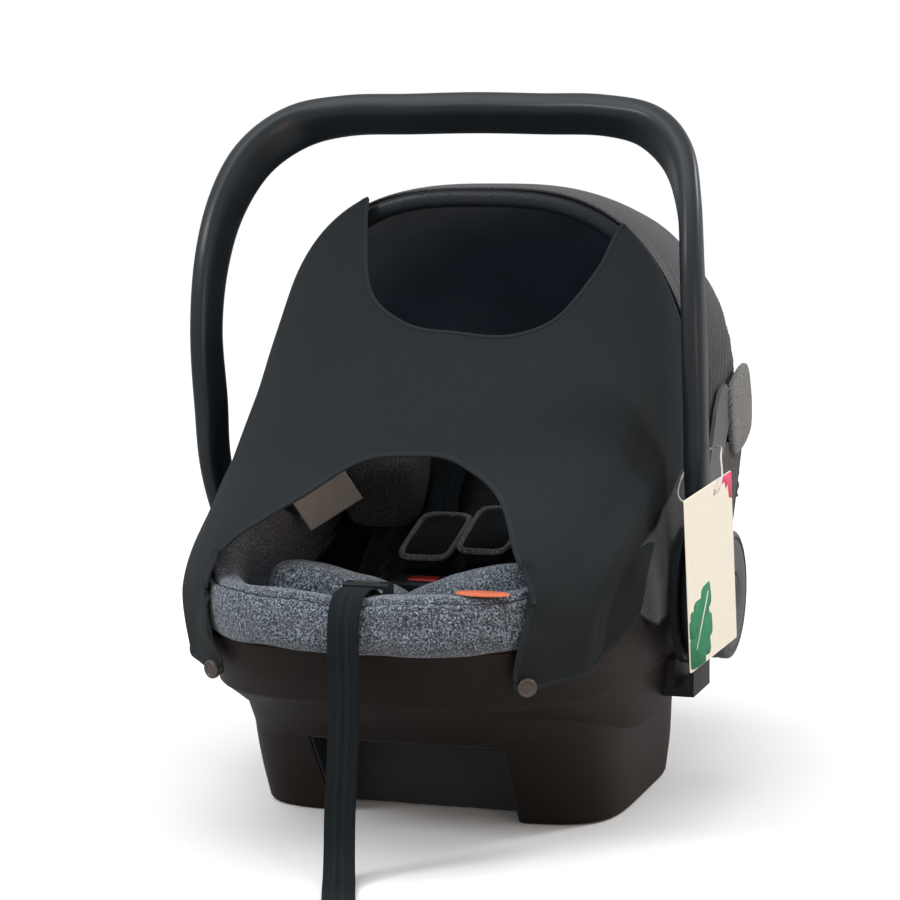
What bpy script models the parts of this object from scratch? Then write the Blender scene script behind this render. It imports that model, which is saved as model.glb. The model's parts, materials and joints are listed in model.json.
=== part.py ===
"""Infant car seat: a carrier shell on a rocker base, with a padded cover, a five-point harness,
a canopy with a stretch sun drape, and a turning carry handle with two release buttons.

Frame: +X is the seat's left-right axis, -Y the foot end, +Y the head end, +Z up, floor at z = 0.
"""

import math

import bmesh
import bpy
from mathutils import Matrix, Vector

# ---- driving dimensions, metres ----
HUB_Y, HUB_Z = -0.0165, 0.170  # handle axis, parallel to X
HUB_RADIUS = 0.053
HUB_FACE = 0.226  # outer face of a hub cap, from the middle plane
GAP = 0.0003  # between pieces that touch
SHELL_WALL = 0.004
SHELL_BOTTOM = 0.050
LINER_WALL = 0.012
FRONT_RIM, HEAD_RIM = 0.168, 0.300  # rim heights at the foot end and the head end
PIVOT_Y, PIVOT_Z = 0.040, 0.240  # canopy axis, parallel to X
WEB_WIDTH, WEB_THICK = 0.025, 0.0016  # harness webbing

# Shell levels from bottom to rim: share of the height, half width, reach to the foot and the head.
SHELL_LEVELS = (
    (0.00, 0.128, 0.105, 0.085),
    (0.06, 0.150, 0.140, 0.105),
    (0.20, 0.165, 0.180, 0.130),
    (0.40, 0.171, 0.228, 0.160),
    (0.60, 0.1745, 0.281, 0.195),
    (0.80, 0.177, 0.300, 0.230),
    (1.00, 0.178, 0.3135, 0.262),
)
# Base levels: height, half width, reach to the foot and the head, squareness at the foot and the head.
BASE_LEVELS = (
    (0.000, 0.1525, 0.148, 0.088, 6.0, 5.0),
    (0.030, 0.1550, 0.166, 0.100, 5.6, 5.0),
    (0.075, 0.1575, 0.201, 0.115, 4.3, 4.0),
    (0.100, 0.1580, 0.241, 0.121, 3.6, 3.2),
    (0.122, 0.1590, 0.2760, 0.125, 3.3, 2.8),
)
PLAN_POWER_FOOT, PLAN_POWER_HEAD = 3.3, 2.8
BASE_WALL = 0.005
# Padded rim's middle line: half width, reach to the foot and the head, squareness at the foot.
PAD_PLAN = (0.1600, 0.3120, 0.2400, 3.27)
RECESS_HALF, RECESS_TOP, RECESS_BACK = 0.0815, 0.0745, -0.110

# Handle centreline, one side: x, y, z, the tilt of the broad face in degrees, the broad and thin
# half sizes of the section, and how far the front edge flares outwards.
HANDLE_LINE = (
    (0.2030, -0.0165, 0.1700, 0, 0.0185, 0.0095, 0.00),
    (0.2075, -0.069, 0.2610, -12, 0.0186, 0.0095, 0.04),
    (0.2081, -0.080, 0.3260, -9, 0.0190, 0.0096, 0.13),
    (0.2083, -0.086, 0.3870, -2, 0.0188, 0.0095, 0.09),
    (0.2048, -0.079, 0.4440, 10, 0.0195, 0.0096, 0.16),
    (0.1976, -0.059, 0.4910, 27, 0.0202, 0.0098, 0.25),
    (0.1822, -0.033, 0.5280, 42, 0.0197, 0.0108, 0.41),
    (0.1527, -0.010, 0.5520, 45, 0.0194, 0.0116, 0.53),
    (0.1108, 0.001, 0.5610, 45, 0.0190, 0.0115, 0.00),
    (0.0580, 0.007, 0.5620, 45, 0.0188, 0.0115, 0.00),
    (0.0000, 0.0086, 0.5630, 45, 0.0190, 0.0115, 0.00),
)

BLACK = (0.018, 0.022, 0.028)
SHELL_BROWN = (0.030, 0.025, 0.024)
CHARCOAL = (0.036, 0.038, 0.041)
MELANGE = (0.130, 0.145, 0.165)
TWEED = (0.090, 0.092, 0.098)
STEEL = (0.55, 0.56, 0.58)
FOAM = (0.75, 0.75, 0.72)

for old in list(bpy.data.objects):
    bpy.data.objects.remove(old, do_unlink=True)
parts = bpy.data.collections.new("infant_car_seat")
cutters = bpy.data.collections.new("cutters")
cutters.hide_render = True
for collection in (parts, cutters):
    bpy.context.scene.collection.children.link(collection)


# ---- helpers ----
def material(name, colour, roughness=0.6, metallic=0.0):
    made = bpy.data.materials.new(name)
    made.use_nodes = True
    shader = made.node_tree.nodes["Principled BSDF"]
    shader.inputs["Base Color"].default_value = (*colour, 1.0)
    shader.inputs["Roughness"].default_value = roughness
    shader.inputs["Metallic"].default_value = metallic
    return made


def add(name, mesh, finish, cutter=False):
    """Puts a mesh in the scene, as a part or as a hidden cutter."""
    thing = bpy.data.objects.new(name, mesh)
    if cutter:
        cutters.objects.link(thing)
        thing.hide_render = True
        thing.display_type = "WIRE"
        return thing
    parts.objects.link(thing)
    mesh.materials.append(finish)
    mesh.shade_smooth()
    mesh.set_sharp_from_angle(angle=math.radians(35))
    return thing


def mesh_of(name, bm):
    bmesh.ops.recalc_face_normals(bm, faces=bm.faces)
    mesh = bpy.data.meshes.new(name)
    bm.to_mesh(mesh)
    bm.free()
    return mesh


def loft(rings, ends="caps"):
    """Skin over rings of equal length. Ends are closed by caps, left open, or joined to each other."""
    bm = bmesh.new()
    rows = [[bm.verts.new(point) for point in ring] for ring in rings]
    pairs = list(zip(rows, rows[1:]))
    if ends == "loop":
        pairs.append((rows[-1], rows[0]))
    for low, high in pairs:
        for i in range(len(low)):
            j = (i + 1) % len(low)
            bm.faces.new((low[i], low[j], high[j], high[i]))
    if ends == "caps":
        bm.faces.new(rows[0])
        bm.faces.new(rows[-1])
    return bm


def grid(place, across, along):
    """An open sheet: place(s, t) gives its points for s and t from 0 to 1."""
    bm = bmesh.new()
    rows = [
        [bm.verts.new(place(i / across, j / along)) for i in range(across + 1)]
        for j in range(along + 1)
    ]
    for low, high in zip(rows, rows[1:]):
        for i in range(across):
            bm.faces.new((low[i], low[i + 1], high[i + 1], high[i]))
    return bm


def solidify(thing, thickness, offset=0.0):
    made = thing.modifiers.new("wall", "SOLIDIFY")
    made.thickness = thickness
    made.offset = offset
    made.use_even_offset = True
    return made


def bevel(thing, width, segments=1):
    made = thing.modifiers.new("edges", "BEVEL")
    made.width = width
    made.segments = segments
    made.limit_method = "ANGLE"
    made.angle_limit = math.radians(40)
    return made


def boolean(thing, other, operation="DIFFERENCE"):
    made = thing.modifiers.new(operation.lower(), "BOOLEAN")
    made.object = other
    made.operation = operation
    made.solver = "EXACT"
    return made


def box(name, low, high, finish=None, edge=0.0, cutter=False):
    """A block between two corners, from a cube."""
    bm = bmesh.new()
    bmesh.ops.create_cube(bm, size=1.0)
    low, high = Vector(low), Vector(high)
    bmesh.ops.scale(bm, vec=high - low, verts=bm.verts)
    bmesh.ops.translate(bm, vec=(low + high) / 2, verts=bm.verts)
    thing = add(name, mesh_of(name, bm), finish, cutter)
    if edge:
        bevel(thing, edge, 2)
    return thing


def side_box(name, sign, x, y, z, finish=None, edge=0.0, cutter=False):
    """A block given by its x, y and z limits on the right, mirrored where sign is -1."""
    low_x, high_x = sorted((sign * x[0], sign * x[1]))
    return box(name, (low_x, y[0], z[0]), (high_x, y[1], z[1]), finish, edge, cutter)


def drum(name, x_from, x_to, radius, y, z, finish=None, sides=32, edge=0.0, cutter=False):
    """A cylinder along X."""
    bm = bmesh.new()
    length = abs(x_to - x_from)
    bmesh.ops.create_cone(
        bm, cap_ends=True, segments=sides, radius1=radius, radius2=radius, depth=length
    )
    bmesh.ops.rotate(bm, matrix=Matrix.Rotation(math.pi / 2, 3, "Y"), verts=bm.verts)
    bmesh.ops.translate(bm, vec=((x_from + x_to) / 2, y, z), verts=bm.verts)
    thing = add(name, mesh_of(name, bm), finish, cutter)
    if edge:
        bevel(thing, edge, 2)
    return thing


def pillow(name, size, place, turn, finish, crown=1):
    """A soft form: a cube cage with one cut each way, rounded by subdivision."""
    bm = bmesh.new()
    bmesh.ops.create_cube(bm, size=1.0)
    bmesh.ops.subdivide_edges(bm, edges=bm.edges, cuts=1, use_grid_fill=True)
    bmesh.ops.scale(bm, vec=size, verts=bm.verts)
    thing = add(name, mesh_of(name, bm), finish)
    thing.location = place
    thing.rotation_euler = [math.radians(angle) for angle in turn]
    rounding = thing.modifiers.new("rounding", "SUBSURF")
    rounding.levels = crown
    rounding.render_levels = crown
    return thing


def smooth_line(points, steps):
    """A Catmull-Rom curve through the points, with that many steps between two of them."""
    points = [Vector(p) for p in points]
    ends = [2 * points[0] - points[1], *points, 2 * points[-1] - points[-2]]
    line = []
    for a, b, c, d in zip(ends, ends[1:], ends[2:], ends[3:]):
        for step in range(steps):
            t = step / steps
            line.append(
                0.5 * (2 * b + (c - a) * t + (2 * a - 5 * b + 4 * c - d) * t**2
                       + (3 * b - a - 3 * c + d) * t**3)
            )
    line.append(points[-1])
    return line


def power(value, exponent):
    """Keeps the sign of value."""
    return math.copysign(abs(value) ** exponent, value)


def smooth(value):
    value = min(max(value, 0.0), 1.0)
    return value * value * (3 - 2 * value)


def between(rows, key):
    """Straight interpolation in rows of numbers whose first number rises."""
    for low, high in zip(rows, rows[1:]):
        if key <= high[0]:
            share = (key - low[0]) / (high[0] - low[0])
            return [a + (b - a) * share for a, b in zip(low, high)]
    return list(rows[-1])


def band(name, points, width, thick, finish, across=(1, 0, 0), steps=3):
    """Flat webbing along a smooth line. across is the direction of its width."""
    line = smooth_line(points, steps)
    rings = []
    for i, point in enumerate(line):
        ahead = line[min(i + 1, len(line) - 1)] - line[max(i - 1, 0)]
        side = Vector(across)
        side = (side - ahead.normalized() * side.dot(ahead.normalized())).normalized()
        up = ahead.cross(side).normalized() * thick / 2
        half = side * (width / 2)
        rings.append([point - half - up, point + half - up, point + half + up, point - half + up])
    return add(name, mesh_of(name, loft(rings)), finish)


SIDES = (("left", -1), ("right", 1))

plastic_black = material("moulded_black", BLACK, 0.45)
plastic_shell = material("moulded_shell", SHELL_BROWN, 0.5)
plastic_grey = material("moulded_grey", (0.10, 0.10, 0.11), 0.5)
steel = material("steel", STEEL, 0.35, 1.0)
foam = material("foam", FOAM, 0.9)
fabric_melange = material("melange_cover", MELANGE, 0.95)
fabric_tweed = material("tweed", TWEED, 0.95)
fabric_drape = material("stretch_drape", CHARCOAL, 0.9)
fabric_black = material("harness_pad", (0.02, 0.022, 0.026), 0.9)
webbing = material("webbing", (0.014, 0.02, 0.027), 0.8)
red_plastic = material("buckle_red", (0.45, 0.02, 0.02), 0.4)
leather_coral = material("coral_leather", (0.62, 0.16, 0.08), 0.6)
white_textile = material("white_textile", (0.7, 0.7, 0.7), 0.9)
cream_card = material("cream_card", (0.85, 0.80, 0.70), 0.7)


# ---- shell, liner and base ----
def plan(angle, half_width, foot, head, power_foot=PLAN_POWER_FOOT, power_head=PLAN_POWER_HEAD):
    """Point of a rounded plan outline: angle 0 is at +X, a quarter turn on is the head end."""
    reach, exponent = (head, power_head) if math.sin(angle) > 0 else (foot, power_foot)
    return half_width * power(math.cos(angle), 2 / exponent), reach * power(
        math.sin(angle), 2 / exponent
    )


def rim_height(y):
    return FRONT_RIM + (HEAD_RIM - FRONT_RIM) * smooth((y + 0.04) / 0.30)


def shell_ring(level, grow=0.0, points=32, rise=0.0):
    """A level of the shell's outer skin, moved outwards by grow and up by rise."""
    _, half_width, foot, head = between(SHELL_LEVELS, level)
    ring = []
    for i in range(points):
        x, y = plan(math.tau * (i + 0.5) / points, half_width + grow, foot + grow, head + grow)
        ring.append((x, y, SHELL_BOTTOM + level * (rim_height(y) - SHELL_BOTTOM) + rise))
    return ring


def shell_solid(name, grow, above=0.0):
    """The shell's outer form as one closed solid, drawn out above the rim, for cutting its neighbours."""
    rings = [shell_ring(row[0], grow, rise=-grow) for row in SHELL_LEVELS]
    if above:
        rings.append(shell_ring(1.0, grow, rise=above))
    return add(name, mesh_of(name, loft(rings)), None, cutter=True)


def make_shell():
    rings = [shell_ring(row[0]) for row in SHELL_LEVELS]
    bm = loft(rings, ends="open")
    bm.verts.ensure_lookup_table()
    bm.faces.new(bm.verts[: len(rings[0])])
    shell = add("seat_shell", mesh_of("seat_shell", bm), plastic_shell)
    solidify(shell, SHELL_WALL, offset=-1.0)
    return shell


def make_liner():
    """Energy-absorbing foam tub between the shell and the cushions."""
    clear = SHELL_WALL + 0.001
    rings = [shell_ring(0.0, -clear, 24, rise=clear)]
    rings += [shell_ring(level, -clear, 24, rise=clear) for level in (0.2, 0.5, 0.8)]
    bm = loft(rings, ends="open")
    bm.verts.ensure_lookup_table()
    bm.faces.new(bm.verts[: len(rings[0])])
    liner = add("foam_liner", mesh_of("foam_liner", bm), foam)
    solidify(liner, LINER_WALL, offset=-1.0)


def base_ring(height, shrink=0.0, points=32):
    _, half_width, foot, head, *squareness = between(BASE_LEVELS, height)
    sizes = (half_width - shrink, foot - shrink, head - shrink)
    return [
        (*plan(math.tau * (i + 0.5) / points, *sizes, *squareness), height)
        for i in range(points)
    ]


def make_base():
    heights = [row[0] for row in BASE_LEVELS]
    outer = [base_ring(height) for height in heights]
    inner = [base_ring(height, BASE_WALL) for height in reversed(heights[1:])]
    flange = [base_ring(0.006, BASE_WALL), base_ring(0.006, 0.016), base_ring(0.0, 0.016)]
    base = add("lower_base", mesh_of("lower_base", loft(outer + inner + flange, "loop")), plastic_shell)
    rib = box("base_rib_form", (-0.1495, -0.014, 0), (0.1495, 0.014, 0.028), cutter=True)
    boolean(base, rib, "UNION")
    boolean(base, shell_solid("shell_clearance", 0.001))
    mouth = box(
        "recess_mouth", (-RECESS_HALF, -0.32, -0.01), (RECESS_HALF, RECESS_BACK, RECESS_TOP),
        cutter=True,
    )
    boolean(base, mouth)

    wall = 0.0025
    recess = box(
        "front_recess",
        (-RECESS_HALF + GAP, -0.24, 0.001),
        (RECESS_HALF - GAP, RECESS_BACK - GAP, RECESS_TOP - GAP),
        plastic_shell,
    )
    hollow = box(
        "recess_hollow",
        (-RECESS_HALF + wall, -0.33, -0.02),
        (RECESS_HALF - wall, RECESS_BACK - wall, RECESS_TOP - wall),
        cutter=True,
    )
    core = add(
        "base_core",
        mesh_of("base_core", loft([base_ring(h, 0.001) for h in heights])),
        None,
        cutter=True,
    )
    boolean(recess, hollow)
    boolean(recess, core, "INTERSECT")
    boolean(recess, bpy.data.objects["shell_clearance"])
    for name, y in (("base_lock_bar_front", -0.075), ("base_lock_bar_rear", 0.050)):
        drum(name, -0.128, 0.128, 0.005, y, 0.022, steel, sides=12)
    for side, x in (("left", -1), ("right", 1)):
        for end, y in (("front", -0.060), ("rear", 0.045)):
            bm = bmesh.new()
            bmesh.ops.create_cone(
                bm, cap_ends=True, segments=10, radius1=0.004, radius2=0.004, depth=0.012
            )
            bmesh.ops.translate(bm, vec=(x * 0.105, y, 0.0415), verts=bm.verts)
            name = f"base_screw_{end}_{side}"
            add(name, mesh_of(name, bm), steel)


def make_rear_belt_guide():
    """Hook at the back of the shell that keeps the vehicle's shoulder belt in place."""
    guide = box("rear_belt_guide", (-0.055, 0.150, 0.158), (0.055, 0.262, 0.174), plastic_grey)
    lip = box("rear_guide_lip", (-0.055, 0.256, 0.160), (0.055, 0.262, 0.192), cutter=True)
    boolean(guide, lip, "UNION")
    boolean(guide, bpy.data.objects["shell_clearance"])


# ---- hubs, handle and release ----
def make_hub(side, sign):
    housing = drum(f"hub_housing_{side}", sign * 0.1852, sign * 0.1905, 0.058, HUB_Y, HUB_Z,
                   plastic_black, sides=36)
    bore = drum(f"housing_bore_{side}", sign * 0.180, sign * 0.200, 0.0065, HUB_Y, HUB_Z,
                sides=20, cutter=True)
    boolean(housing, bore)

    guide = side_box(f"belt_guide_{side}", sign, (0.140, 0.1951), (-0.032, 0.026),
                     (0.0853, 0.1165), plastic_black)
    slot = side_box(f"guide_slot_{side}", sign, (0.1795, 0.1910), (-0.060, 0.060),
                    (0.0925, 0.170), cutter=True)
    boolean(guide, slot)
    boolean(guide, bpy.data.objects["shell_clearance"])

    # A turned pin: the profile runs down its outer side, from the head's face to the shank's end.
    bm = bmesh.new()
    profile = ((0, 0.0140), (0.0105, 0.0140), (0.0105, 0.0105), (0.006, 0.0105), (0.006, 0.0), (0, 0.0))
    verts = [bm.verts.new((x, 0, z)) for x, z in profile]
    for a, b in zip(verts, verts[1:]):
        bm.edges.new((a, b))
    mesh = bpy.data.meshes.new(f"pivot_pin_{side}")
    bm.to_mesh(mesh)
    bm.free()
    pin = add(f"pivot_pin_{side}", mesh, steel)
    pin.location = (sign * 0.1860, HUB_Y, HUB_Z)
    pin.rotation_euler = (0, sign * math.pi / 2, 0)
    turn = pin.modifiers.new("turn", "SCREW")
    turn.steps = 20
    turn.render_steps = 20
    turn.use_merge_vertices = True
    turn.merge_threshold = 0.00005

    # The lock ring: a flat outline with eight teeth and a round hole.
    outline = bpy.data.curves.new(f"lock_ring_{side}", "CURVE")
    outline.dimensions = "2D"
    outline.fill_mode = "BOTH"
    outline.extrude = 0.004
    teeth = [
        (0.0270 if (i // 2) % 2 else 0.0225, math.tau * (i + 0.5) / 32) for i in range(32)
    ]
    hole = [(0.0125, math.tau * i / 16) for i in range(16)]
    for loop in (teeth, hole):
        spline = outline.splines.new("POLY")
        spline.points.add(len(loop) - 1)
        spline.use_cyclic_u = True
        for knot, (radius, angle) in zip(spline.points, loop):
            knot.co = (radius * math.cos(angle), radius * math.sin(angle), 0, 1)
    ring = bpy.data.objects.new(f"lock_ring_{side}", outline)
    parts.objects.link(ring)
    outline.materials.append(steel)
    ring.location = (sign * 0.2062, HUB_Y, HUB_Z)
    ring.rotation_euler = (0, sign * math.pi / 2, 0)

    coil = bpy.data.curves.new(f"lock_spring_{side}", "CURVE")
    coil.dimensions = "3D"
    coil.bevel_depth = 0.0006
    coil.bevel_resolution = 1
    coil.use_fill_caps = True
    count, turns, radius, length = 27, 2.6, 0.0180, 0.0046
    spline = coil.splines.new("POLY")
    spline.points.add(count - 1)
    for i, knot in enumerate(spline.points):
        angle = math.tau * turns * i / (count - 1)
        knot.co = (radius * math.cos(angle), radius * math.sin(angle), length * i / (count - 1), 1)
    spring = bpy.data.objects.new(f"lock_spring_{side}", coil)
    parts.objects.link(spring)
    coil.materials.append(steel)
    spring.location = (sign * 0.1965, HUB_Y, HUB_Z)
    spring.rotation_euler = (0, sign * math.pi / 2, 0)

    cap = drum(f"hub_cap_{side}", sign * 0.2153, sign * HUB_FACE, HUB_RADIUS, HUB_Y, HUB_Z,
               plastic_black, sides=36, edge=0.0022)
    well = drum(f"cap_well_{side}", sign * 0.210, sign * 0.235, 0.0168, HUB_Y, HUB_Z,
                sides=28, cutter=True)
    boolean(cap, well)
    button = drum(f"handle_button_{side}", sign * 0.2105, sign * 0.2140, 0.0205, HUB_Y, HUB_Z,
                  plastic_grey, sides=28)
    stem = drum(f"button_stem_{side}", sign * 0.2130, sign * 0.2265, 0.0162, HUB_Y, HUB_Z,
                sides=28, cutter=True)
    boolean(button, stem, "UNION")


def make_handle():
    """The carry handle: a flat oval bow that ends in a round boss on each side."""
    half = [Vector(row[:3]) for row in HANDLE_LINE]
    other = [Vector((-p.x, p.y, p.z)) for p in half[:-1]]
    line = smooth_line(half + other[::-1], 2)
    tilts, broads, thins, flares = ([row[k] for row in HANDLE_LINE] for k in range(3, 7))
    sections = list(zip(tilts, broads, thins))
    sections = smooth_line(sections + sections[-2::-1], 2)
    flares = smooth_line([(flare, 0, 0) for flare in flares + [-flare for flare in flares[-2::-1]]], 2)
    rings = []
    for i, point in enumerate(line):
        ahead = (line[min(i + 1, len(line) - 1)] - line[max(i - 1, 0)]).normalized()
        tilt, wide, deep = sections[i]
        tilt = math.radians(tilt)
        broad = Vector((flares[i].x, -math.cos(tilt), math.sin(tilt)))
        broad = (broad - ahead * broad.dot(ahead)).normalized()
        thin = ahead.cross(broad)
        rings.append([
            point
            + broad * wide * power(math.cos(math.tau * k / 12), 0.75)
            + thin * deep * power(math.sin(math.tau * k / 12), 0.75)
            for k in range(12)
        ])
    bow = add("handle_bow", mesh_of("handle_bow", loft(rings)), plastic_black)
    for side, sign in SIDES:
        boss = drum(f"handle_boss_{side}", sign * 0.1915, sign * 0.2150, 0.0525, HUB_Y, HUB_Z,
                    sides=36, cutter=True)
        pocket = drum(f"boss_pocket_{side}", sign * 0.1955, sign * 0.2300, 0.0300, HUB_Y, HUB_Z,
                      sides=28, cutter=True)
        bore = drum(f"boss_bore_{side}", sign * 0.1900, sign * 0.2000, 0.0064, HUB_Y, HUB_Z,
                    sides=20, cutter=True)
        boolean(bow, boss, "UNION")
        boolean(bow, pocket)
        boolean(bow, bore)


# ---- cover, cushions and harness ----
def pad_height(y):
    """Height of the padded rim above the shell's edge."""
    return 0.036 + 0.028 * smooth((y + 0.27) / 0.17) - 0.040 * smooth((y + 0.10) / 0.15)


def make_rim_pad():
    stations, around = 36, 8
    rings = []
    for i in range(stations):
        angle = math.tau * i / stations
        x, y = plan(angle, *PAD_PLAN)
        before = Vector(plan(angle - 0.02, *PAD_PLAN))
        after = Vector(plan(angle + 0.02, *PAD_PLAN))
        along = (after - before).normalized()
        out = Vector((along.y, -along.x, 0))
        tall = pad_height(y) / 2
        middle = Vector((x, y, rim_height(y) + 0.0095 + tall))
        rings.append([
            middle
            + out * 0.0165 * power(math.cos(math.tau * (k + 0.5) / around), 0.7)
            + Vector((0, 0, tall * power(math.sin(math.tau * (k + 0.5) / around), 0.7)))
            for k in range(around)
        ])
    add("rim_pad", mesh_of("rim_pad", loft(rings, "loop")), fabric_melange)


def make_cushions():
    cavity = shell_solid("liner_cavity", -(SHELL_WALL + 0.001 + LINER_WALL + 0.002), above=0.3)
    seat = pillow("seat_cushion", (0.270, 0.190, 0.085), (0, -0.178, 0.116), (0, 0, 0), fabric_tweed)
    back = pillow("back_cushion", (0.270, 0.340, 0.075), (0, 0.075, 0.190), (38, 0, 0), fabric_tweed)
    for cushion in (seat, back):
        boolean(cushion, cavity, "INTERSECT")
    pillow("head_cushion", (0.110, 0.100, 0.040), (0, 0.130, 0.312), (38, 0, 0), fabric_melange)
    for side, sign in SIDES:
        pillow(f"side_bolster_{side}", (0.080, 0.120, 0.100), (sign * 0.093, 0.030, 0.2665),
               (38, 0, sign * -10), fabric_melange)
        pillow(f"lap_pad_{side}", (0.105, 0.056, 0.034), LAP_PADS[side][0], LAP_PADS[side][1],
               fabric_melange)


# Place and turn of each lap pad; the two meet a little to the right of the middle.
LAP_PADS = {"left": ((-0.0455, -0.2135, 0.1890), (-8, 14, 8)),
            "right": ((0.0625, -0.2135, 0.1920), (-8, -18, -8))}
SHOULDER_PADS = {"left": (-0.012, -0.075, 0.2130), "right": (0.036, -0.069, 0.2190)}


def make_harness():
    for side, sign in SIDES:
        chest = -0.020 if sign < 0 else 0.028
        band(f"shoulder_strap_{side}",
             ((sign * 0.040, 0.085, 0.277), (sign * 0.034, 0.020, 0.240),
              (chest, -0.050, 0.2055), (sign * 0.024, -0.118, 0.184)),
             WEB_WIDTH, WEB_THICK, webbing)
        pillow(f"shoulder_pad_{side}", (0.048, 0.085, 0.020), SHOULDER_PADS[side], (18, 0, 0),
               fabric_black)
        side_box(f"buckle_tongue_{side}", sign, (0.004, 0.026), (-0.1425, -0.1225), (0.184, 0.188),
                 steel, edge=0.001)
    band("crotch_strap", ((0, -0.182, 0.1735), (0, -0.170, 0.1765), (0, -0.158, 0.178)),
         0.022, WEB_THICK, webbing, steps=2)
    pillow("crotch_pad", (0.060, 0.070, 0.012), (0, -0.150, 0.1690), (6, 0, 0), fabric_black)
    housing = box("buckle_housing", (-0.027, -0.157, 0.177), (0.027, -0.1230, 0.195), plastic_black,
                  edge=0.003)
    mouth = box("buckle_mouth", (-0.0275, -0.144, 0.183), (0.0275, -0.110, 0.189), cutter=True)
    well = box("buckle_well", (-0.0125, -0.1525, 0.1905), (0.0125, -0.1365, 0.200), cutter=True)
    boolean(housing, mouth)
    boolean(housing, well)
    box("buckle_button", (-0.0120, -0.1520, 0.1925), (0.0120, -0.1370, 0.1965), red_plastic,
        edge=0.001)


ADJUSTER_ROUTE = (
    (0.0, -0.2870, 0.2108), (0.0, -0.2990, 0.2156), (0.0, -0.3120, 0.2158), (0.0, -0.3255, 0.2120),
    (0.0, -0.3345, 0.1980), (0.0, -0.3365, 0.1770), (0.0, -0.3345, 0.1480), (-0.0010, -0.3345, 0.1150),
    (-0.0030, -0.3350, 0.0800), (-0.0045, -0.3365, 0.0480), (-0.0035, -0.3415, 0.0220),
    (0.0005, -0.3540, 0.0060), (0.0070, -0.3730, 0.0020), (0.0160, -0.3980, 0.0018),
    (0.0265, -0.4260, 0.0018), (0.0370, -0.4540, 0.0018), (0.0475, -0.4820, 0.0018),
)


def make_adjuster():
    """Strap that tightens the harness: out of the rim's slot, over the rim and down to the floor."""
    band("adjuster_strap", ADJUSTER_ROUTE, WEB_WIDTH, WEB_THICK, webbing, steps=2)
    bezel = box("adjuster_slot", (-0.019, -0.2850, 0.196), (0.019, -0.2725, 0.2168), plastic_black,
                edge=0.0015)
    slot = box("adjuster_mouth", (-0.0140, -0.2900, 0.2075), (0.0140, -0.2600, 0.2125), cutter=True)
    well = box("adjuster_well", (-0.0110, -0.2825, 0.2132), (0.0110, -0.2750, 0.2190), cutter=True)
    boolean(bezel, slot)
    boolean(bezel, well)
    box("adjuster_button", (-0.0105, -0.2820, 0.2146), (0.0105, -0.2755, 0.2176), plastic_grey)


def make_labels():
    bm = bmesh.new()
    bmesh.ops.create_cone(bm, cap_ends=True, segments=24, radius1=0.5, radius2=0.5, depth=0.0014)
    bmesh.ops.scale(bm, vec=(0.042, 0.017, 1), verts=bm.verts)
    bmesh.ops.translate(bm, vec=(0.097, -0.297, 0.2157), verts=bm.verts)
    add("leather_label", mesh_of("leather_label", bm), leather_coral)
    label = box("textile_label", (-0.026, -0.0006, -0.026), (0.026, 0.0006, 0.026), white_textile)
    label.location = (-0.1180, -0.064, 0.2520)
    label.rotation_euler = (math.radians(4), math.radians(-32), math.radians(16))


# ---- canopy and sun drape ----
def canopy_radius(angle):
    """Apex distance from the canopy axis for a turn angle in degrees from upright."""
    return between(((-10, 0.262), (10, 0.263), (20, 0.265), (40, 0.265), (60, 0.268), (80, 0.262),
                    (100, 0.234)), angle)[1]


def canopy_point(angle, swing, inset=0.0):
    """angle turns the arch back from upright; swing runs along the arch, -90 to 90 degrees."""
    squareness = between(((-10, 2.9), (0, 2.9), (40, 4.0), (100, 4.5)), angle)[1]
    reach = (canopy_radius(angle) - inset) * power(math.cos(math.radians(swing)), 2 / squareness)
    x = (0.1872 - inset) * power(math.sin(math.radians(swing)), 2 / squareness)
    turn = math.radians(angle)
    return Vector((x, PIVOT_Y + reach * math.sin(turn), PIVOT_Z + reach * math.cos(turn)))


def flat_plate(name, outline, x, thick, finish):
    """A plate across X from an outline in y and z."""
    curve = bpy.data.curves.new(name, "CURVE")
    curve.dimensions = "2D"
    curve.fill_mode = "BOTH"
    curve.extrude = thick / 2
    spline = curve.splines.new("POLY")
    spline.points.add(len(outline) - 1)
    spline.use_cyclic_u = True
    for knot, (y, z) in zip(spline.points, outline):
        knot.co = (y, z, 0, 1)
    plate = bpy.data.objects.new(name, curve)
    parts.objects.link(plate)
    curve.materials.append(finish)
    plate.location = (x, 0, 0)
    plate.rotation_euler = (math.pi / 2, 0, math.pi / 2)


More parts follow.
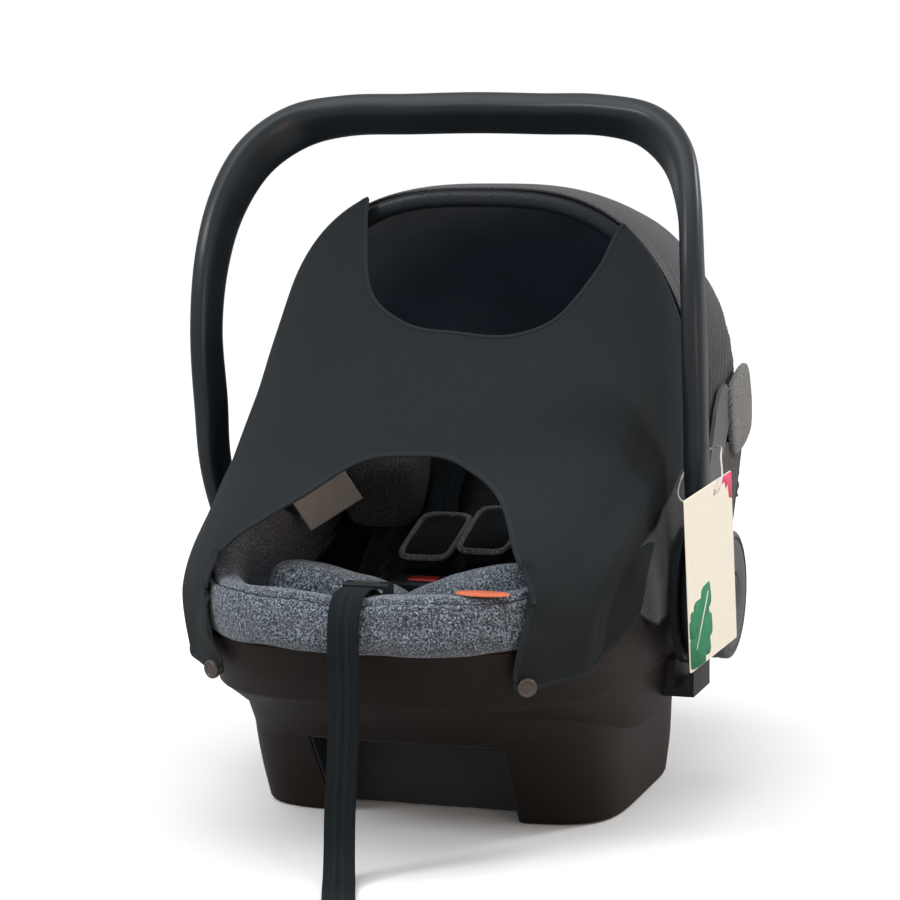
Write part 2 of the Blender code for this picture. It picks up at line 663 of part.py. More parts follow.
def make_canopy():
    foot = [(PIVOT_Y + 0.016 * math.cos(a), PIVOT_Z + 0.016 * math.sin(a))
            for a in [math.radians(150 + 15 * i) for i in range(13)]]
    outline = foot + [(0.115, 0.300), (0.112, 0.322), (0.100, 0.330), (0.080, 0.327), (0.062, 0.310)]
    for side, sign in SIDES:
        flat_plate(f"canopy_mount_{side}", outline, sign * 0.1909, 0.0032, plastic_grey)

    line = [canopy_point(-5.5, -87 + 174 * i / 28, 0.0065) for i in range(29)]
    low = [Vector((-0.1822, 0.0360, 0.2320))]
    line = low + line + [Vector((0.1822, 0.0360, 0.2320))]
    rings = []
    for i, point in enumerate(line):
        ahead = (line[min(i + 1, len(line) - 1)] - line[max(i - 1, 0)]).normalized()
        side = Vector((0, 1, 0))
        side = (side - ahead * side.dot(ahead)).normalized() * 0.008
        up = ahead.cross(side).normalized() * 0.0019
        rings.append([point - side - up, point + side - up, point + side + up, point - side + up])
    add("canopy_hoop", mesh_of("canopy_hoop", loft(rings)), plastic_black)

    rib = bpy.data.curves.new("canopy_rib", "CURVE")
    rib.dimensions = "3D"
    rib.bevel_depth = 0.0022
    rib.bevel_resolution = 1
    rib.use_fill_caps = True
    spline = rib.splines.new("POLY")
    count = 22
    spline.points.add(count)
    for i, knot in enumerate(spline.points):
        knot.co = (*canopy_point(45, -84 + 168 * i / count, 0.006), 1)
    rib_object = bpy.data.objects.new("canopy_rib", rib)
    parts.objects.link(rib_object)
    rib.materials.append(steel)

    cover = add(
        "canopy_fabric",
        mesh_of("canopy_fabric",
                grid(lambda s, t: canopy_point(-6.0 + 104.0 * t, -87 + 174 * s), 20, 9)),
        fabric_tweed,
    )
    solidify(cover, 0.0026)


# Drape skin: share of the way down, then the apex line's y and z.
DRAPE_APEX = ((0.0, 0.004, 0.5075), (0.33, -0.088, 0.392), (0.60, -0.190, 0.306),
              (0.85, -0.309, 0.225), (1.0, -0.312, 0.139))
# Share of the way down, then the side line's y and z, the half width and the arch's squareness.
DRAPE_FOOT = ((0.0, 0.010, 0.266, 0.1865, 2.7), (0.25, -0.030, 0.240, 0.1832, 3.1),
              (0.60, -0.090, 0.195, 0.1805, 3.8), (0.85, -0.125, 0.165, 0.1805, 3.5),
              (1.0, -0.137, 0.147, 0.1785, 2.55))
# The drape's free edges: swing in degrees across it, and share of the way down.
WINDOW_EDGE = ((-90, 0.0), (-24, 0.0), (-21.5, 0.06), (-14, 0.23), (-4.5, 0.315), (3, 0.343),
               (10.5, 0.335), (20, 0.28), (30, 0.14), (36.5, 0.0), (90, 0.0))
# The hem from the left side to the right: place along it, swing, share of the way down.
HEM = ((-1.00, -84, 0.855), (-0.88, -76, 0.935), (-0.72, -62, 0.985), (-0.58, -49, 0.998),
       (-0.48, -34.5, 0.994), (-0.43, -36.5, 0.94), (-0.38, -36.5, 0.87), (-0.30, -30, 0.80),
       (-0.20, -19, 0.75), (-0.10, -10, 0.70), (0.00, 0, 0.615), (0.10, 9.5, 0.645),
       (0.20, 19, 0.70), (0.30, 29, 0.79), (0.38, 38.5, 0.87), (0.43, 37, 0.94),
       (0.48, 36, 1.0), (0.58, 48.5, 0.998), (0.72, 62, 0.985), (0.88, 75, 0.935),
       (1.00, 84, 0.855))
TOE_HOOK = 6  # how late each line of cloth turns towards its place on the hem
DRAPE_SWING = 86


def drape_point(swing, drop):
    """The drape's skin: swing from -90 to 90 degrees across, drop from 0 at the hoop to 1 below."""
    _, apex_y, apex_z = between(DRAPE_APEX, drop)
    _, foot_y, foot_z, half, squareness = between(DRAPE_FOOT, drop)
    rise = power(math.cos(math.radians(swing)), 2 / squareness)
    x = half * power(math.sin(math.radians(swing)), 2 / squareness)
    return Vector((x, foot_y + (apex_y - foot_y) * rise, foot_z + (apex_z - foot_z) * rise))


def make_drape():
    def place(s, t):
        """s runs across from 0 to 1, t from the hoop or the window's edge down to the hem."""
        side = 2 * s - 1
        top_swing = DRAPE_SWING * side
        top = between(WINDOW_EDGE, top_swing)[1]
        _, hem_swing, hem = between(HEM, side)
        t = 1 - (1 - t) ** 1.4
        swing = top_swing + (hem_swing - top_swing) * t ** TOE_HOOK
        return drape_point(swing, top + (hem - top) * t)

    drape = add("sun_drape", mesh_of("sun_drape", grid(place, 34, 13)), fabric_drape)
    solidify(drape, 0.0015)
    for side, sign in SIDES:
        bm = bmesh.new()
        bmesh.ops.create_cone(bm, cap_ends=True, segments=16, radius1=0.0075, radius2=0.006, depth=0.004)
        cap = add(f"snap_cap_{side}", mesh_of(f"snap_cap_{side}", bm), plastic_grey)
        out = Vector((sign * 0.42, -0.90, -0.12)).normalized()
        cap.location = Vector((sign * 0.1215, -0.272, 0.145)) + out * 0.016
        cap.rotation_euler = out.to_track_quat("Z", "Y").to_euler()


# ---- hang tag ----
TAG_HOLE = (0.2365, -0.1383, 0.2732)
TAG_SIZE = (0.100, 0.1366)  # across and down
TAG_TURN = (math.radians(5.7), 0, math.radians(-8.0))


def make_tag():
    ahead, above = 0.37 * TAG_SIZE[0], 0.009
    card = box(
        "hang_tag",
        (-0.0005, ahead - TAG_SIZE[0], above - TAG_SIZE[1]),
        (0.0005, ahead, above),
        cream_card,
    )
    hole = drum("tag_hole", -0.01, 0.01, 0.0028, 0, 0, sides=14, cutter=True)
    for thing in (card, hole):
        thing.location = TAG_HOLE
        thing.rotation_euler = TAG_TURN
    boolean(card, hole)
    loop = bpy.data.curves.new("tag_tie", "CURVE")
    loop.dimensions = "3D"
    loop.bevel_depth = 0.0007
    loop.bevel_resolution = 1
    route = (
        (0.2390, -0.1378, 0.2737), (0.2408, -0.1300, 0.2850), (0.2330, -0.1000, 0.2960),
        (0.2250, -0.0660, 0.2990), (0.2100, -0.0420, 0.2930), (0.1940, -0.0510, 0.2790),
        (0.1935, -0.0790, 0.2640), (0.2030, -0.1000, 0.2590), (0.2190, -0.1190, 0.2630),
        (0.2335, -0.1381, 0.2735),
    )
    spline = loop.splines.new("POLY")
    spline.points.add(len(route) - 1)
    spline.use_cyclic_u = True
    for knot, point in zip(spline.points, route):
        knot.co = (*point, 1)
    tie = bpy.data.objects.new("tag_tie", loop)
    parts.objects.link(tie)
    loop.materials.append(white_textile)


make_shell()
make_liner()
make_base()
make_rear_belt_guide()
for side_name, side_sign in SIDES:
    make_hub(side_name, side_sign)
make_handle()
make_rim_pad()
make_cushions()
make_harness()
make_adjuster()
make_labels()
make_canopy()
make_drape()
make_tag()
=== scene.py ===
"""Looks of the infant car seat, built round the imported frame: moulded shell and handle, padded cover,
cushions, harness, canopy, stretch drape, webbing and hang tag, on a pale floor in soft light.

Same frame as the CAD: +X the seat's left-right axis, -Y the foot end, +Z up, metres.
"""

import json
import math

import bmesh
import bpy
import numpy as np
from mathutils import Matrix, Vector, noise

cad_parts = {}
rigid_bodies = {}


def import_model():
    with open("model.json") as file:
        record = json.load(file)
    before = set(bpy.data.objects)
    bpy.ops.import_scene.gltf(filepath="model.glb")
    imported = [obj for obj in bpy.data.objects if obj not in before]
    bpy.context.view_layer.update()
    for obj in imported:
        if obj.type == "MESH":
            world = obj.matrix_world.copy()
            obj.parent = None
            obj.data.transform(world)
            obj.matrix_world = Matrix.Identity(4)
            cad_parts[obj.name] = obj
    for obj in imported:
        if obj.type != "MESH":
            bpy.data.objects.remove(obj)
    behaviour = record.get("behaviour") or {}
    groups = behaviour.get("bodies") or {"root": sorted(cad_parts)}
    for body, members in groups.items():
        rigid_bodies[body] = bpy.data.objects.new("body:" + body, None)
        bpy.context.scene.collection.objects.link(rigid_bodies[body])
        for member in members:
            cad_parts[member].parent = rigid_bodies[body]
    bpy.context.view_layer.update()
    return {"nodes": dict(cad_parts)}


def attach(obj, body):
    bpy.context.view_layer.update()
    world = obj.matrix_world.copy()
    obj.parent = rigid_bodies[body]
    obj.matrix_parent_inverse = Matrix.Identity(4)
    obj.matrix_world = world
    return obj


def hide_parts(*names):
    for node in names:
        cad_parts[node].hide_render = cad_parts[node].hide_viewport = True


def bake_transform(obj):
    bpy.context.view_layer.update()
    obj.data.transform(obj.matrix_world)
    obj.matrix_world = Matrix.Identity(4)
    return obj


for old in list(bpy.data.objects):
    bpy.data.objects.remove(old, do_unlink=True)
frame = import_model()
nodes = frame["nodes"]
scene = bpy.context.scene
SIDES = (("left", -1), ("right", 1))

# ---- dimensions shared with the CAD, metres ----
HUB_Y, HUB_Z = -0.0165, 0.170
SHELL_BOTTOM, SHELL_WALL = 0.050, 0.004
FRONT_RIM, HEAD_RIM = 0.168, 0.300
PIVOT_Y, PIVOT_Z = 0.040, 0.240
WEB_WIDTH, WEB_THICK = 0.025, 0.0016
SHELL_LEVELS = (
    (0.00, 0.128, 0.105, 0.085),
    (0.06, 0.150, 0.140, 0.105),
    (0.20, 0.165, 0.180, 0.130),
    (0.40, 0.171, 0.228, 0.160),
    (0.60, 0.1745, 0.281, 0.195),
    (0.80, 0.177, 0.300, 0.230),
    (1.00, 0.178, 0.3135, 0.262),
)
BASE_LEVELS = (
    (0.000, 0.1525, 0.148, 0.088, 6.0, 5.0),
    (0.030, 0.1550, 0.166, 0.100, 5.6, 5.0),
    (0.075, 0.1575, 0.201, 0.115, 4.3, 4.0),
    (0.100, 0.1580, 0.241, 0.121, 3.6, 3.2),
    (0.122, 0.1590, 0.2760, 0.125, 3.3, 2.8),
)
PLAN_POWER_FOOT, PLAN_POWER_HEAD = 3.3, 2.8
PAD_PLAN = (0.1600, 0.3120, 0.2400, 3.27)
SEAM_TURN = 58
RECESS_HALF, RECESS_TOP, RECESS_BACK = 0.0815, 0.0745, -0.110
HANDLE_LINE = (
    (0.2030, -0.0165, 0.1700, 0, 0.0185, 0.0095, 0.00),
    (0.2075, -0.069, 0.2610, -12, 0.0186, 0.0095, 0.04),
    (0.2081, -0.080, 0.3260, -9, 0.0190, 0.0096, 0.13),
    (0.2083, -0.086, 0.3870, -2, 0.0188, 0.0095, 0.09),
    (0.2048, -0.079, 0.4440, 10, 0.0195, 0.0096, 0.16),
    (0.1976, -0.059, 0.4910, 27, 0.0202, 0.0098, 0.25),
    (0.1822, -0.033, 0.5280, 42, 0.0197, 0.0108, 0.41),
    (0.1527, -0.010, 0.5520, 45, 0.0194, 0.0116, 0.53),
    (0.1108, 0.001, 0.5610, 45, 0.0190, 0.0115, 0.00),
    (0.0580, 0.007, 0.5620, 45, 0.0188, 0.0115, 0.00),
    (0.0000, 0.0086, 0.5630, 45, 0.0190, 0.0115, 0.00),
)
CANOPY_RADII = ((-10, 0.262), (10, 0.263), (20, 0.265), (40, 0.265), (60, 0.268), (80, 0.262), (100, 0.234))
CANOPY_POWERS = ((-10, 2.9), (0, 2.9), (40, 4.0), (100, 4.5))
HOOP_ANGLE, RIB_ANGLE, HEAD_ANGLE = -6.5, 45, 98
CANOPY_HALF = 0.1872
DRAPE_APEX = ((0.0, 0.004, 0.5075), (0.33, -0.088, 0.392), (0.60, -0.190, 0.306),
              (0.85, -0.309, 0.225), (1.0, -0.312, 0.139))
DRAPE_FOOT = ((0.0, 0.010, 0.266, 0.1865, 2.7), (0.25, -0.030, 0.240, 0.1832, 3.1),
              (0.60, -0.090, 0.195, 0.1800, 3.5), (0.85, -0.125, 0.165, 0.1795, 3.05),
              (1.0, -0.137, 0.147, 0.1785, 2.55))
WINDOW_EDGE = ((-90, 0.0), (-24, 0.0), (-21.5, 0.06), (-14, 0.23), (-4.5, 0.315), (3, 0.343),
               (10.5, 0.335), (20, 0.28), (30, 0.14), (36.5, 0.0), (90, 0.0))
HEM = ((-1.00, -84, 0.855), (-0.88, -76, 0.935), (-0.72, -62, 0.985), (-0.58, -49, 0.998),
       (-0.48, -34.5, 0.994), (-0.43, -36.5, 0.94), (-0.38, -36.5, 0.87), (-0.30, -30, 0.80),
       (-0.20, -19, 0.75), (-0.10, -10, 0.70), (0.00, 0, 0.615), (0.10, 9.5, 0.645),
       (0.20, 19, 0.70), (0.30, 29, 0.79), (0.38, 38.5, 0.87), (0.43, 37, 0.94),
       (0.48, 36, 1.0), (0.58, 48.5, 0.998), (0.72, 62, 0.985), (0.88, 75, 0.935),
       (1.00, 84, 0.855))
TOE_HOOK = 6
DRAPE_SWING = 86
LAP_PADS = {"left": ((-0.0455, -0.2135, 0.1890), (-8, 14, 8)),
            "right": ((0.0625, -0.2135, 0.1920), (-8, -18, -8))}
SHOULDER_PADS = {"left": (-0.012, -0.075, 0.2130), "right": (0.036, -0.069, 0.2190)}
ADJUSTER_ROUTE = (
    (0.0, -0.2870, 0.2108), (0.0, -0.2990, 0.2156), (0.0, -0.3120, 0.2158), (0.0, -0.3255, 0.2120),
    (0.0, -0.3345, 0.1980), (0.0, -0.3365, 0.1770), (0.0, -0.3345, 0.1480), (-0.0010, -0.3345, 0.1150),
    (-0.0030, -0.3350, 0.0800), (-0.0045, -0.3365, 0.0480), (-0.0035, -0.3415, 0.0220),
    (0.0005, -0.3540, 0.0060), (0.0070, -0.3730, 0.0020), (0.0160, -0.3980, 0.0018),
    (0.0265, -0.4260, 0.0018), (0.0370, -0.4540, 0.0018), (0.0475, -0.4820, 0.0018),
)
TAG_HOLE = Vector((0.2365, -0.1383, 0.2732))
TAG_WIDE, TAG_TALL = 0.100, 0.1366
TAG_AHEAD, TAG_ABOVE = 0.037, 0.009
TAG_TURN = (5.7, 0, -8.0)
CARD_FACE, PRINT_THICK = 0.00052, 0.00003
CLOTH_FRAMES = 20
BAND = 0.314
CAMERA_PLACE, LENS = (0.757, -2.400, 0.631), 120.4
CAMERA_YAW, CAMERA_PITCH, CAMERA_ROLL = 0.3146, 0.1384, -0.0106


# ---- number helpers ----
def power(value, exponent):
    """Keeps the sign of value."""
    return math.copysign(abs(value) ** exponent, value)


def smooth(value):
    value = min(max(value, 0.0), 1.0)
    return value * value * (3 - 2 * value)


def ridge(value, width):
    """A soft bump that is 1 where value is 0 and fades out over width."""
    return math.exp(-((value / width) ** 2))


def uneven(*spot):
    """Smooth noise from about -1 to 1."""
    return noise.noise(Vector(spot))


def between(rows, key):
    """Straight interpolation in rows of numbers whose first number rises."""
    if key <= rows[0][0]:
        return list(rows[0])
    for low, high in zip(rows, rows[1:]):
        if key <= high[0]:
            share = (key - low[0]) / (high[0] - low[0])
            return [a + (b - a) * share for a, b in zip(low, high)]
    return list(rows[-1])


def eased(rows, key, width):
    """between() averaged over a small span, which rounds the corners of the table."""
    steps = (-1.0, -0.6, -0.2, 0.2, 0.6, 1.0)
    found = [between(rows, key + width * step) for step in steps]
    return [sum(column) / len(steps) for column in zip(*found)]


def smooth_line(points, steps):
    """A Catmull-Rom curve through the points, with that many steps between two of them."""
    points = [Vector(p) for p in points]
    ends = [2 * points[0] - points[1], *points, 2 * points[-1] - points[-2]]
    line = []
    for a, b, c, d in zip(ends, ends[1:], ends[2:], ends[3:]):
        for step in range(steps):
            t = step / steps
            line.append(
                0.5 * (2 * b + (c - a) * t + (2 * a - 5 * b + 4 * c - d) * t**2
                       + (3 * b - a - 3 * c + d) * t**3)
            )
    line.append(points[-1])
    return line


def curved(rows, key):
    """Catmull-Rom interpolation in rows of numbers whose first number rises."""
    last = len(rows) - 1
    for i in range(last):
        if key <= rows[i + 1][0] or i == last - 1:
            low, high = rows[i], rows[i + 1]
            break
    span = high[0] - low[0]
    t = min(max((key - low[0]) / span, 0.0), 1.0)
    before = rows[max(i - 1, 0)]
    after = rows[min(i + 2, last)]
    made = []
    for a, b, c, d in zip(before, low, high, after):
        slope_low = (c - a) / max(high[0] - before[0], 1e-9) * span
        slope_high = (d - b) / max(after[0] - low[0], 1e-9) * span
        made.append(
            (2 * t**3 - 3 * t**2 + 1) * b + (t**3 - 2 * t**2 + t) * slope_low
            + (-2 * t**3 + 3 * t**2) * c + (t**3 - t**2) * slope_high
        )
    return made


# ---- material helpers ----
def new_material(name, roughness=0.5, metallic=0.0, sheen=0.0, specular=0.5):
    made = bpy.data.materials.new(name)
    made.use_nodes = True
    shader = made.node_tree.nodes["Principled BSDF"]
    settings = {"Roughness": roughness, "Metallic": metallic, "Sheen Weight": sheen,
                "Sheen Roughness": 0.45, "Specular IOR Level": specular}
    for socket, value in settings.items():
        shader.inputs[socket].default_value = value
    return made, made.node_tree


def put(tree, kind, sockets=(), **settings):
    """Adds a node. sockets maps input names or numbers to a value or to another node's output."""
    made = tree.nodes.new(kind)
    for key, value in settings.items():
        setattr(made, key, value)
    for key, value in dict(sockets).items():
        if isinstance(value, bpy.types.NodeSocket):
            tree.links.new(value, made.inputs[key])
        else:
            made.inputs[key].default_value = value
    return made


def place_of(tree, source="Object", stretch=(1, 1, 1)):
    coordinates = put(tree, "ShaderNodeTexCoord").outputs[source]
    return put(tree, "ShaderNodeMapping", {"Vector": coordinates, "Scale": stretch}).outputs[0]


def speckle(tree, where, scale, detail=3.0, rough=0.6):
    return put(
        tree, "ShaderNodeTexNoise",
        {"Vector": where, "Scale": scale, "Detail": detail, "Roughness": rough},
    ).outputs["Fac"]


def wave(tree, where, scale, direction, distortion=0.0, detail=2.0, detail_scale=1.0):
    return put(
        tree, "ShaderNodeTexWave",
        {"Vector": where, "Scale": scale, "Distortion": distortion, "Detail": detail,
         "Detail Scale": detail_scale},
        bands_direction=direction,
    ).outputs["Fac"]


def cells_of(tree, where, scale, feature="F1"):
    return put(
        tree, "ShaderNodeTexVoronoi", {"Vector": where, "Scale": scale}, feature=feature
    ).outputs["Distance"]


def grey(value):
    return (value, value, value)


def ramp(tree, factor, stops):
    """A colour ramp: stops are (position, colour)."""
    made = put(tree, "ShaderNodeValToRGB", {"Fac": factor})
    band = made.color_ramp
    while len(band.elements) < len(stops):
        band.elements.new(0.5)
    for element, (position, colour) in zip(band.elements, stops):
        element.position = position
        element.color = (*colour, 1.0)
    return made.outputs["Color"]


def maths(tree, operation, first, second):
    return put(tree, "ShaderNodeMath", {0: first, 1: second}, operation=operation).outputs[0]


def mixed(tree, factor, first, second, blend="MIX"):
    made = put(tree, "ShaderNodeMix", data_type="RGBA", blend_type=blend)
    for index, value in ((0, factor), (6, first), (7, second)):
        if isinstance(value, bpy.types.NodeSocket):
            tree.links.new(value, made.inputs[index])
        else:
            made.inputs[index].default_value = value if index == 0 else (*value, 1.0)
    return made.outputs[2]


def drive(tree, socket, value):
    tree.links.new(value, tree.nodes["Principled BSDF"].inputs[socket])


def dress(tree, colour, height, strength, distance):
    """Gives the shader its colour, and a bump of that height."""
    drive(tree, "Base Color", colour)
    sockets = {"Height": height, "Strength": strength, "Distance": distance}
    drive(tree, "Normal", put(tree, "ShaderNodeBump", sockets).outputs[0])


def shade(colour, factor):
    return tuple(min(channel * factor, 1.0) for channel in colour)


# ---- materials ----
def plastic(name, colour, roughness=0.45, grain=2600, grain_depth=0.12, wear=0.25, gloss=0.5):
    """Moulded plastic: spark-eroded grain, slight cloudiness and lighter rubbed patches."""
    made, tree = new_material(name, roughness, specular=gloss)
    where = place_of(tree)
    cloud = speckle(tree, where, 9, 4)
    fine = speckle(tree, where, grain, 2, 0.5)
    tint = ramp(tree, cloud, ((0.30, shade(colour, 0.82)), (0.72, shade(colour, 1.18))))
    smudge = maths(tree, "MULTIPLY", speckle(tree, where, 34, 6, 0.75), wear)
    spread = put(
        tree, "ShaderNodeMapRange",
        {"Value": speckle(tree, where, 21, 5), "To Min": roughness - 0.05, "To Max": roughness + 0.09},
    ).outputs[0]
    drive(tree, "Roughness", spread)
    dress(tree, mixed(tree, smudge, tint, shade(colour, 1.55)), fine, grain_depth, 0.0004)
    return made


def melange(name, dark, middle, light, warm, fleck=780):
    """Melange knit: short light and dark fibres on loops about a millimetre across."""
    made, tree = new_material(name, 0.95, sheen=0.25, specular=0.2)
    where = place_of(tree)
    fibre = speckle(tree, where, fleck, 4, 0.75)
    loops = cells_of(tree, where, fleck * 1.05)
    patch = speckle(tree, where, fleck * 0.16, 3, 0.7)
    base = ramp(tree, fibre, ((0.40, dark), (0.50, middle), (0.61, light)))
    base = mixed(tree, ramp(tree, patch, ((0.42, grey(0)), (0.68, grey(0.45)))), base, warm)
    shadow = ramp(tree, loops, ((0.05, grey(1)), (0.75, grey(0.42))))
    height = maths(tree, "SUBTRACT", fibre, maths(tree, "MULTIPLY", loops, 0.8))
    dress(tree, mixed(tree, 0.75, base, shadow, "MULTIPLY"), height, 0.55, 0.0012)
    return made


def jersey(name, colour, source="UV", pitch=0.0011, sheen=0.06):
    """Stretch knit: fine columns of stitches with faint length-wise streaks, and painted shade in the dips
    between them.
    """
    made, tree = new_material(name, 0.9, sheen=sheen, specular=0.12)
    where = place_of(tree, source)
    columns = wave(tree, where, BAND / pitch, "X", 0.6, 1.0, 3.0)
    rows = wave(tree, where, BAND / (pitch * 0.8), "Y", 1.2, 1.0)
    loops = maths(tree, "MULTIPLY", columns, rows)
    streak = speckle(tree, place_of(tree, source, (260, 8, 1)), 1.0, 4, 0.6)
    cloud = speckle(tree, where, 14, 3)
    tint = ramp(tree, streak, ((0.30, shade(colour, 0.93)), (0.70, shade(colour, 1.07))))
    tint = mixed(tree, cloud, tint, mixed(tree, 0.5, tint, shade(colour, 1.12)))
    # Painted shade: the dips between stitches darker and the crowns lighter, on the same loops as the bump.
    painted_stitch_shade = ramp(tree, loops, ((0.0, grey(0.86)), (0.6, grey(1.08))))
    dress(tree, mixed(tree, 0.7, tint, painted_stitch_shade, "MULTIPLY"), loops, 0.22, 0.0005)
    return made


def tweed(name, dark, middle, light):
    """Coarse tweed: uneven yarns, with pale flecks that run along the yarn."""
    made, tree = new_material(name, 0.95, sheen=0.2, specular=0.2)
    along = speckle(tree, place_of(tree, "UV", (1500, 420, 1)), 1.0, 3, 0.7)
    across = speckle(tree, place_of(tree, "UV", (420, 1300, 1)), 1.0, 3, 0.7)
    yarn = maths(tree, "MAXIMUM", along, across)
    weave = wave(tree, place_of(tree, "UV"), 240, "DIAGONAL", 5.0, 2.0, 2.5)
    base = ramp(tree, yarn, ((0.44, dark), (0.60, middle), (0.74, light)))
    shadow = ramp(tree, weave, ((0.1, grey(0.5)), (0.8, grey(1.15))))
    height = maths(tree, "ADD", yarn, maths(tree, "MULTIPLY", weave, 0.6))
    dress(tree, mixed(tree, 0.55, base, shadow, "MULTIPLY"), height, 0.6, 0.0011)
    return made


def webbing(name, colour):
    """Harness webbing: lengthwise ribs crossed by fine slanting threads. UV in metres."""
    made, tree = new_material(name, 0.72, sheen=0.02, specular=0.12)
    ribs = wave(tree, place_of(tree, "UV"), BAND / 0.0019, "X")
    threads = wave(tree, place_of(tree, "UV", (1.0, 2.2, 1)), BAND / 0.0016, "DIAGONAL", 0.8)
    yarns = maths(tree, "ADD", ribs, maths(tree, "MULTIPLY", threads, 0.55))
    # Painted shade and highlight: darker in the valleys between ribs and threads, lighter on their crowns,
    # following the bump.
    tint = ramp(tree, yarns, ((0.15, shade(colour, 0.65)), (0.95, shade(colour, 1.45))))
    dress(tree, tint, yarns, 0.45, 0.0004)
    return made


def leather(name, colour, pebble=620, roughness=0.42, depth=0.5, gloss=0.5):
    """Pebbled grain, with painted shade darkening its creases."""
    made, tree = new_material(name, roughness, specular=gloss)
    where = place_of(tree)
    cells = cells_of(tree, where, pebble, "SMOOTH_F1")
    creases = speckle(tree, where, pebble * 0.4, 4, 0.7)
    height = maths(tree, "SUBTRACT", maths(tree, "MULTIPLY", creases, 0.4), cells)
    # Painted shade and highlight: darker in the creases between the pebbles, lighter on their tops.
    tint = ramp(tree, cells, ((0.10, shade(colour, 1.15)), (0.75, shade(colour, 0.70))))
    dress(tree, tint, height, depth, 0.0006)
    return made


def metal(name, colour):
    """Plated steel with a fine lengthwise brushing."""
    made, tree = new_material(name, 0.35, metallic=1.0)
    brushed = speckle(tree, place_of(tree, "Object", (400, 3000, 3000)), 1.0, 2)
    tint = ramp(tree, brushed, ((0.3, shade(colour, 0.8)), (0.7, shade(colour, 1.1))))
    dress(tree, tint, brushed, 0.08, 0.0002)
    return made


def foam_beads(name, colour):
    """Expanded foam: beads a few millimetres across."""
    made, tree = new_material(name, 0.9, specular=0.3)
    cells = cells_of(tree, place_of(tree), 260)
    # Painted shade: darker where the beads meet, on the same cells as the bump.
    dress(tree, ramp(tree, cells, ((0.2, colour), (0.8, shade(colour, 0.7)))), cells, -0.5, 0.0015)
    return made


def satin(name, colour, source="Object"):
    """Close-woven label or lining cloth."""
    made, tree = new_material(name, 0.6, sheen=0.15, specular=0.4)
    where = place_of(tree, source)
    weave = wave(tree, where, BAND / 0.0009, "DIAGONAL", 0.5)
    cloud = speckle(tree, where, 20, 3)
    tint = ramp(tree, cloud, ((0.3, shade(colour, 0.88)), (0.7, shade(colour, 1.1))))
    shadow = ramp(tree, weave, ((0.0, grey(0.86)), (0.7, grey(1.04))))
    dress(tree, mixed(tree, 0.8, tint, shadow, "MULTIPLY"), weave, 0.2, 0.0003)
    return made


def card(name, colour):
    """Uncoated board with a faint fibre."""
    made, tree = new_material(name, 0.75, specular=0.3)
    fibre = speckle(tree, place_of(tree, "Object", (1, 1, 0.4)), 420, 5, 0.7)
    tint = ramp(tree, fibre, ((0.3, shade(colour, 0.95)), (0.7, shade(colour, 1.03))))
    dress(tree, tint, fibre, 0.1, 0.0003)
    return made


handle_plastic = plastic(
    "handle_plastic", (0.0085, 0.0135, 0.0185), 0.36, 3200, 0.08, wear=0.15, gloss=0.38
)
disc_plastic = plastic("disc_plastic", (0.052, 0.054, 0.060), 0.42, 2600, 0.12)
black_plastic = plastic("black_plastic", (0.0100, 0.0120, 0.0145), 0.44, gloss=0.25)
shell_plastic = plastic(
    "shell_plastic", (0.0130, 0.0098, 0.0088), 0.44, 2300, 0.14, wear=0.15, gloss=0.16
)
dark_plastic = plastic("dark_plastic", (0.007, 0.009, 0.012), 0.5)
grey_plastic = plastic("grey_plastic", (0.085, 0.088, 0.094), 0.5)
button_plastic = plastic("button_plastic", (0.050, 0.053, 0.058), 0.42)
snap_plastic = plastic("snap_plastic", (0.060, 0.050, 0.046), 0.35)
red_plastic = plastic("red_plastic", (0.42, 0.016, 0.014), 0.28, wear=0.1)
zinc = metal("zinc", (0.52, 0.53, 0.56))
foam_board = foam_beads("foam_board", (0.05, 0.05, 0.052))
melange_knit = melange(
    "melange_knit", (0.013, 0.018, 0.026), (0.098, 0.124, 0.160), (0.44, 0.52, 0.61),
    (0.125, 0.130, 0.136), 600,
)
dark_melange = melange(
    "dark_melange", (0.009, 0.010, 0.011), (0.036, 0.038, 0.040), (0.12, 0.12, 0.12),
    (0.040, 0.038, 0.036),
)
# Painted light: the dark cover melange made several times lighter, standing in for light on the shaded
# bolsters; the rear rolls share it.
painted_light_melange = melange(
    "painted_light_melange", (0.045, 0.049, 0.053), (0.170, 0.178, 0.180), (0.42, 0.43, 0.42),
    (0.210, 0.186, 0.160),
)
cushion_knit = melange(
    "cushion_knit", (0.006, 0.007, 0.008), (0.020, 0.021, 0.023), (0.060, 0.060, 0.062),
    (0.022, 0.021, 0.020),
)
drape_jersey = jersey("drape_jersey", (0.0165, 0.0205, 0.0235), sheen=0.03)
hem_jersey = jersey("hem_jersey", (0.020, 0.025, 0.028), pitch=0.0009, sheen=0.03)
pad_jersey = jersey("pad_jersey", (0.010, 0.012, 0.015), source="Object", pitch=0.0012)
canopy_tweed = tweed("canopy_tweed", (0.013, 0.014, 0.016), (0.080, 0.083, 0.090), (0.34, 0.35, 0.37))
